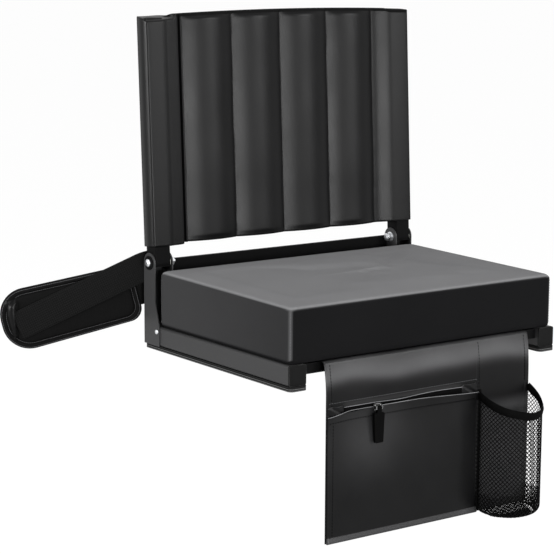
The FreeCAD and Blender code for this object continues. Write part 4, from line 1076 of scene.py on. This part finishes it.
# Painted light on the pocket: a painted sheen patch in its upper left, and a painted highlight on the rolled
# hem at the bottom.
sheen_patch = 0.26 * np.exp(-((pocket_points[:, 0] + 105.0) / 60.0) ** 2
                           - ((pocket_points[:, 2] + 72.0) / 42.0) ** 2)
set_painted_light(pocket, np.maximum(sheen_patch, 0.4 * (pocket_points[:, 2] < -187.0)))
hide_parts("pocket_panel")
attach(pocket, "flap")

# Zip: woven tape with a moulded chain of teeth, and a folded patch of cloth sewn over each end.
# The cloth along both sides of the opening is turned over a thin grey piping.
zip_black = speckled("zip_black", 1500.0, 70.0, (neutral(0.0006), neutral(0.002)), (0.68, 0.84),
                     (0.5, 0.0003), specular=0.02)
tape_profile = ((-36.8, -154.22), (-36.8, -154.92), (-34.5, -155.12), (-32, -155.22), (-29.5, -155.12),
                (-27.2, -154.92), (-27.2, -154.22))
tape_rings = []
for x in np.linspace(zip_left, zip_right, 48):
    lift = float(waves(x, 31, (60.0, 35.0), (0.12, 0.08)))
    tape_rings.append(np.array([(x, y, z + lift) for z, y in tape_profile]))
tape = make_piece("zip_tape", *loft(tape_rings), zip_black)
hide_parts("zipper_tape")
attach(tape, "flap")

tooth_tree, into, out = start_tree(
    "zip_teeth", ("Pitch", "Float"), ("Tooth Size", "Vector"), ("Offset", "Float"), ("Finish", "Material"))
to_curve = put(tooth_tree, "GeometryNodeMeshToCurve")
paced = put(tooth_tree, "GeometryNodeResampleCurve", mode="LENGTH")
block = put(tooth_tree, "GeometryNodeMeshCube")
rounder = put(tooth_tree, "GeometryNodeSubdivisionSurface", {"Level": 1, "Edge Crease": 0.7})
index = put(tooth_tree, "GeometryNodeInputIndex")
odd = put(tooth_tree, "ShaderNodeMath", {1: 2.0}, operation="MODULO")
side = put(tooth_tree, "ShaderNodeMath", {1: 0.5}, operation="SUBTRACT")
shift = put(tooth_tree, "ShaderNodeMath", operation="MULTIPLY")
offset = put(tooth_tree, "ShaderNodeCombineXYZ")
moved = put(tooth_tree, "GeometryNodeSetPosition")
sown = put(tooth_tree, "GeometryNodeInstanceOnPoints")
real = put(tooth_tree, "GeometryNodeRealizeInstances")
coloured = put(tooth_tree, "GeometryNodeSetMaterial")
for link in (
    (into, "Geometry", to_curve, "Mesh"),
    (to_curve, "Curve", paced, "Curve"),
    (into, "Pitch", paced, "Length"),
    (into, "Tooth Size", block, "Size"),
    (block, "Mesh", rounder, "Mesh"),
    (index, "Index", odd, 0),
    (odd, "Value", side, 0),
    (side, "Value", shift, 0),
    (into, "Offset", shift, 1),
    (shift, "Value", offset, "Z"),
    (paced, "Curve", moved, "Geometry"),
    (offset, "Vector", moved, "Offset"),
    (moved, "Geometry", sown, "Points"),
    (rounder, "Mesh", sown, "Instance"),
    (sown, "Instances", real, "Geometry"),
    (real, "Geometry", coloured, "Geometry"),
    (into, "Finish", coloured, "Material"),
    (coloured, "Geometry", out, "Geometry"),
):
    wire(tooth_tree, *link)
chain_y = -155.4
teeth = wire_piece("zip_teeth", [(zip_left + 1, chain_y, zip_z), (zip_right - 1, chain_y, zip_z)], [(0, 1)],
                   zip_black)
run_tree(teeth, tooth_tree, **{"Pitch": 0.00125, "Tooth Size": (0.0011, 0.0012, 0.0026),
                               "Offset": 0.0013, "Finish": zip_black})
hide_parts("zipper_coil")
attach(teeth, "flap")


def joined(lofts):
    """Points and faces of several lofts as one."""
    points, faces = np.empty((0, 3)), []
    for more_points, more_faces in lofts:
        faces += [tuple(len(points) + i for i in face) for face in more_faces]
        points = np.concatenate([points, more_points])
    return points, faces


piping_cloth = speckled("piping_cloth", 1800.0, 45.0, (neutral(0.06, 0.002), neutral(0.17, 0.005)),
                        (0.5, 0.7), (0.3, 0.0002), specular=0.2)
bead_radius = 0.42
bead_round = [(bead_radius * math.cos(a), bead_radius * math.sin(a))
              for a in np.linspace(0, 2 * math.pi, 8, endpoint=False)]
upper_bead = [(x, flap_face - 1.35, -26.7 - 1.1 * math.exp(-((x + 55.0) / 25.0) ** 2)
               + 0.9 * math.exp(-((x - 5.0) / 30.0) ** 2)) for x in np.linspace(zip_left, zip_right, 60)]
lower_bead = [(x, y + 0.35, z) for x, y, z in pocket_surface(1)[0]]
beads = [loft([np.array([(x, y + a, z + b) for a, b in bead_round]) for x, y, z in path])
         for path in (upper_bead, lower_bead)]
piping = make_piece("zip_piping", *joined(beads), piping_cloth)
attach(piping, "flap")

patch_front, patch_rear, patch_lofts = -155.0, -154.3, []
for low_x, high_x in ((pocket_left + 1.0, zip_left), (zip_right, pocket_right)):
    columns = np.linspace(low_x, high_x, 12)
    rings = []
    for z in np.linspace(-36.8, -24.0, 10):
        fold = 0.5 * np.sin((columns - low_x) / (high_x - low_x) * math.pi)
        fold = fold + waves(columns + 1.7 * z, 51, (11.0, 19.0), (0.3, 0.4))
        height = np.full(len(columns), z)
        face = np.column_stack([columns, patch_front - fold, height])
        rear = np.column_stack([columns, np.full(len(columns), patch_rear), height])
        rings.append(np.concatenate([face, rear[::-1]]))
    patch_lofts.append(loft(rings[::-1]))
patches = make_piece("zip_end_patches", *joined(patch_lofts), flap_skin)
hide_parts("zip_end_tabs")
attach(patches, "flap")

# Zip slider and pull: the slider is die cast and lacquered black, rubbed bright on its edges.
# The pull is a tapered tab moulded in matt black plastic that hangs from the slider's pin.
lacquer, tree, shader = start_material("slider_lacquer", neutral(0.004), 0.4, specular=0.3)
rub = use_group(tree, edge_rub, Scale=700.0, Amount=1.0)
colour_between(tree, rub.outputs["Mask"], neutral(0.004), neutral(0.7), shader.inputs["Base Color"])
value_between(tree, rub.outputs["Mask"], 0.0, 1.0, shader.inputs["Metallic"])
value_between(tree, rub.outputs["Mask"], 0.45, 0.25, shader.inputs["Roughness"])
dress(lacquer, "zipper_slider")
dress(zip_black, "zipper_pull")

# Seams of the flap: lockstitch in black thread along the side hems, the divider and the pocket's
# edges, and in grey thread above the zip.
black_thread = speckled("black_thread", 2400.0, 300.0, (neutral(0.0005), neutral(0.003)), (0.7, 0.9),
                        (0.4, 0.0002), specular=0.02, colour_by="Height")
front_y, thread_stand = flap_face - 0.05, 0.95


def flap_seam(x, low):
    """A line down the flap's face, over its bend and on to a height."""
    bent = [(x, y + out_of[0] * thread_stand, z + out_of[1] * thread_stand)
            for (y, z), out_of in zip(flap_line, flap_out) if -14.5 < z < 26]
    return bent + [(x, front_y, z) for z in np.arange(-18.0, low, -6.0)]


seam_rows = [flap_seam(x, low) for x, low in ((-157.5, -25.0), (157.5, -34.0), (79.0, -36.0))]
seam_rows.append([(x, y - 0.1, z) for x, y, z in pocket_surface(1)[6][1:-1]])
pocket_seam = np.array([row[2] for row in pocket_surface(1)])
seam_rows.append([(x, y - 0.1, z) for x, y, z in pocket_seam if -185 < z < -46])
zip_rows = [[(x, front_y - 0.1, -20.0) for x in np.linspace(-160, 73, 60)]]
sew("flap_stitches", seam_rows, "flap", black_thread, pitch=3.8, length=2.8, width=0.95)
sew("zip_stitches", zip_rows, "flap", grey_thread, pitch=3.8, length=2.8, width=0.6)

# Bottle pocket: black knotted net sewn to the flap as a half-round cup, with the net gathered
# under a rounded floor.
cup_middle, cup_radius, cup_turn = 120.8, 43.25, -159.8
cup_round, cup_sag, cup_swell, cup_dip = 8.0, 4.5, 5.0, 5.0
net_thread = speckled("net_thread", 1900.0, 90.0, (neutral(0.0008), neutral(0.003)), (0.5, 0.75),
                      (0.3, 0.0002), specular=0.03)
straight = flap_face - cup_turn
wall_radius = cup_radius - 0.7
wall_length = 2 * straight + math.pi * wall_radius
bend_length = cup_round * math.pi / 2


def cup_point(run, height):
    """A point on the net: run along its wall from the left seam, and height up from the hem."""
    radius = wall_radius
    if height < cup_round:
        radius -= cup_round - math.sqrt(max(0.0, cup_round ** 2 - (cup_round - height) ** 2))
    share = run / wall_length
    arc = math.pi * radius
    gone = share * (2 * straight + arc)
    if gone < straight:
        x, y = cup_middle - radius, flap_face - gone
    elif gone > straight + arc:
        x, y = cup_middle + radius, cup_turn + (gone - straight - arc)
    else:
        turn = (gone - straight) / radius
        x, y = cup_middle - radius * math.cos(turn), cup_turn - radius * math.sin(turn)
    x += cup_swell * right_bulge(share)
    sag = cup_sag * max(0.0, 1 - height / 60.0) ** 2 * math.sin(math.pi * share) ** 0.6
    return x, y, flap_hem + height - sag


def right_bulge(share):
    """How far the net swells to the right, from 0 to 1, along its wall."""
    return math.sin(math.pi * (share - 0.4) / 0.6) if share > 0.4 else 0.0


def rim_height(y, share):
    """Height of the net's upper edge, which dips to the front and to the right."""
    return -40.0 + (24.0 / 49.0) * (y - flap_face) - cup_dip * right_bulge(share)


def wall_place(run, climb):
    """A point on the net, climb being measured over the rounded bottom edge."""
    if climb < bend_length:
        angle = climb / cup_round
        return cup_point(run, cup_round * (1 - math.cos(angle)))
    return cup_point(run, cup_round + climb - bend_length)


cell = 5.5
columns = int(round(wall_length / cell))
step_x = wall_length / columns
step_z = cell * 0.5
net_points, net_edges, net_index = [], [], {}
gather_height = 26.0


def net_vertex(layer, i, j):
    """Knot of the net, every second column lifted by half a cell; the inner layer is the gather."""
    if (layer, i, j) in net_index:
        return net_index[layer, i, j]
    run = min(max((i + 0.5 * layer) * step_x / 2, 0), wall_length)
    x, y, z = wall_place(run, (j + 0.5 * layer) * step_z)
    if z > (flap_hem + gather_height if layer else rim_height(y, run / wall_length)):
        return None
    x, y = x + (cup_middle - x) * 0.03 * layer, y + (cup_turn - y) * 0.03 * layer
    net_index[layer, i, j] = len(net_points)
    net_points.append((x, y, z))
    return net_index[layer, i, j]


for layer in (0, 1):
    for j in range(0, 120):
        for i in range(0, 2 * columns + 1):
            here = net_vertex(layer, i, j) if (i + j) % 2 == 0 else None
            if here is None:
                continue
            for other in ((i + 1, j + 1), (i - 1, j + 1)):
                there = net_vertex(layer, *other) if 0 <= other[0] <= 2 * columns else None
                if there is not None:
                    net_edges.append((here, there))
floor_radius, floor_gap = wall_radius - cup_round, 2.2


def floor_place(x, y):
    """A point of the net's floor, which sags between the flap and the wall."""
    away = math.hypot(x - cup_middle, min(0.0, y - cup_turn)) / floor_radius
    front = min(1.0, max(0.0, (flap_face - y) / 18.0))
    return x, y, flap_hem + 0.4 - cup_sag * front * (1 + 0.3 * max(0.0, 1 - away ** 2))


floor_lines = []
for step in np.arange(-floor_radius, floor_radius + 0.1, floor_gap):
    reach = math.sqrt(max(0.0, floor_radius ** 2 - step ** 2))
    floor_lines.append([floor_place(cup_middle + step, cup_turn - t)
                        for t in np.linspace(-straight, reach, 10)])
for step in np.arange(-straight, floor_radius, floor_gap):
    reach = math.sqrt(max(0.0, floor_radius ** 2 - max(0.0, step) ** 2))
    floor_lines.append([floor_place(cup_middle + t, cup_turn - step)
                        for t in np.linspace(-reach, reach, 12)])
floor_points, floor_edges = row_edges(floor_lines)
net_edges += [(len(net_points) + start, len(net_points) + end) for start, end in floor_edges]
net_points += floor_points

thread_tree, into, out = start_tree("net_thread", ("Thread Radius", "Float"), ("Finish", "Material"))
to_curve = put(thread_tree, "GeometryNodeMeshToCurve")
ring = put(thread_tree, "GeometryNodeCurvePrimitiveCircle", {"Resolution": 4})
tube = put(thread_tree, "GeometryNodeCurveToMesh", {"Fill Caps": False})
real = put(thread_tree, "GeometryNodeRealizeInstances")
coloured = put(thread_tree, "GeometryNodeSetMaterial")
for link in (
    (into, "Geometry", to_curve, "Mesh"),
    (into, "Thread Radius", ring, "Radius"),
    (to_curve, "Curve", tube, "Curve"),
    (ring, "Curve", tube, "Profile Curve"),
    (tube, "Mesh", real, "Geometry"),
    (real, "Geometry", coloured, "Geometry"),
    (into, "Finish", coloured, "Material"),
    (coloured, "Geometry", out, "Geometry"),
):
    wire(thread_tree, *link)
net = wire_piece("bottle_net", net_points, net_edges, net_thread)
run_tree(net, thread_tree, **{"Thread Radius": 0.00055, "Finish": net_thread})
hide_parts("mesh_pocket")
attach(net, "flap")

# Binding of the bottle pocket: a strip of folded webbing sewn over the net's upper edge, where
# the thread puckers it, and a flat tape sewn down the net's left edge.
rim_route = []
for run in np.linspace(0, wall_length, 70):
    x, y, _ = cup_point(run, 100.0)
    rim_route.append((x, y, rim_height(y, run / wall_length)))
rim_route = np.array(rim_route)
outward, upward = route_frame(rim_route)
rim_half_width, rim_half_thick = 5.2, 1.55
rim_profile = [
    (rim_half_width * math.sin(a), rim_half_thick * math.cos(a) * (1 + 0.25 * math.cos(2 * a)))
    for a in np.linspace(0, 2 * math.pi, 16, endpoint=False)]
rim_rings = []
for i in range(len(rim_route)):
    pucker = 1 + 0.1 * math.sin(i * 1.9) + 0.06 * math.sin(i * 0.77)
    rim_rings.append(np.array([
        rim_route[i] + upward[i] * a - outward[i] * b * pucker for a, b in rim_profile]))
rim = make_piece("bottle_rim", *loft(rim_rings), zip_black)
side_profile = ((76.5, -154.2), (76.5, -155.4), (78.0, -155.9), (80.5, -155.9), (82.0, -155.4),
                (82.0, -154.2))
side_rings = [np.array([(x, y, z) for x, y in side_profile]) for z in np.linspace(-34.0, flap_hem + 1.0, 40)]
side_binding = make_piece("bottle_side_tape", *loft(side_rings), zip_black)
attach(side_binding, "flap")
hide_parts("mesh_rim")
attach(rim, "flap")

# Studio: a camera at the photograph's angle, a plain pale floor below the bench's height, a
# white surround, and soft lamps above, at the left and in front.
focal_px, photo_px = 1929.78, 554
turn, rise, roll = math.radians(-36.0), math.radians(9.89), math.radians(0.29)
toward = Vector((math.sin(turn) * math.cos(rise), -math.cos(turn) * math.cos(rise), math.sin(rise)))
right = (-toward).cross(Vector((0, 0, 1))).normalized()
above = right.cross(-toward)
lens = bpy.data.cameras.new("camera")
lens.sensor_width = 36.0
lens.lens = focal_px / photo_px * lens.sensor_width
camera = bpy.data.objects.new("camera", lens)
pose = Matrix((right * math.cos(roll) + above * math.sin(roll),
               above * math.cos(roll) - right * math.sin(roll), toward)).transposed().to_4x4()
pose.translation = Vector((-1.53423, -1.93667, 0.52642))
camera.matrix_world = pose
bpy.context.scene.collection.objects.link(camera)
bpy.context.scene.camera = camera
bpy.context.scene.view_settings.view_transform = "Standard"


def seen_rays(tree):
    """1 where a camera, glossy or transmission ray arrives."""
    path = put(tree, "ShaderNodeLightPath")
    first = put(tree, "ShaderNodeMath", operation="ADD")
    second = put(tree, "ShaderNodeMath", operation="ADD", use_clamp=True)
    wire(tree, path, "Is Camera Ray", first, 0)
    wire(tree, path, "Is Glossy Ray", first, 1)
    wire(tree, first, "Value", second, 0)
    wire(tree, path, "Is Transmission Ray", second, 1)
    return second.outputs["Value"]


world = bpy.data.worlds.new("surround")
bpy.context.scene.world = world
world.use_nodes = True
tree = world.node_tree
surround = tree.nodes["Background"]
surround.inputs["Color"].default_value = (1, 1, 1, 1)
value_between(tree, seen_rays(tree), 0.25, 1.0, surround.inputs["Strength"])

floor_z, floor_half = -0.43, 60.0
floor_mesh = bpy.data.meshes.new("floor")
floor_mesh.from_pydata([(x * floor_half, y * floor_half, floor_z)
                        for x, y in ((-1, -1), (1, -1), (1, 1), (-1, 1))], [], [(0, 1, 2, 3)])
floor = bpy.data.objects.new("floor", floor_mesh)
bpy.context.scene.collection.objects.link(floor)
pale, tree, shader = start_material("pale_floor", neutral(0.9), 0.9, specular=0.0)
lit = put(tree, "ShaderNodeEmission", {"Color": (1, 1, 1, 1), "Strength": 1.03})
mix = put(tree, "ShaderNodeMixShader")
most = put(tree, "ShaderNodeMath", {1: 0.94}, operation="MULTIPLY")
tree.links.new(seen_rays(tree), most.inputs[0])
wire(tree, most, "Value", mix, "Fac")
wire(tree, shader, "BSDF", mix, 1)
wire(tree, lit, "Emission", mix, 2)
tree.links.new(mix.outputs["Shader"], tree.nodes["Material Output"].inputs["Surface"])
floor_mesh.materials.append(pale)

for name, place, target, size, power in (
    ("top_softbox", (-0.2, -0.35, 2.2), (0, 0, 0.1), (2.0, 2.0), 45.0),
    ("left_softbox", (-4.3, 1.0, 0.6), (0, 0, 0.1), (2.7, 0.9), 230.0),
    ("front_strip", (-1.07, -4.27, 0.34), (0, 0, 0.28), (2.3, 0.8), 185.0),
    ("right_strip", (1.86, -3.99, 0.34), (0, 0, 0.28), (3.3, 0.8), 48.0),
    ("high_softbox", (2.5, -3.45, 1.4), (0, 0, 0.0), (1.6, 1.0), 80.0),
):
    light = bpy.data.lights.new(name, "AREA")
    light.shape = "RECTANGLE"
    light.size, light.size_y = size
    light.energy = power
    holder = bpy.data.objects.new(name, light)
    holder.location = place
    holder.rotation_mode = "QUATERNION"
    holder.rotation_quaternion = (Vector(target) - Vector(place)).to_track_quat("-Z", "Y")
    bpy.context.scene.collection.objects.link(holder)
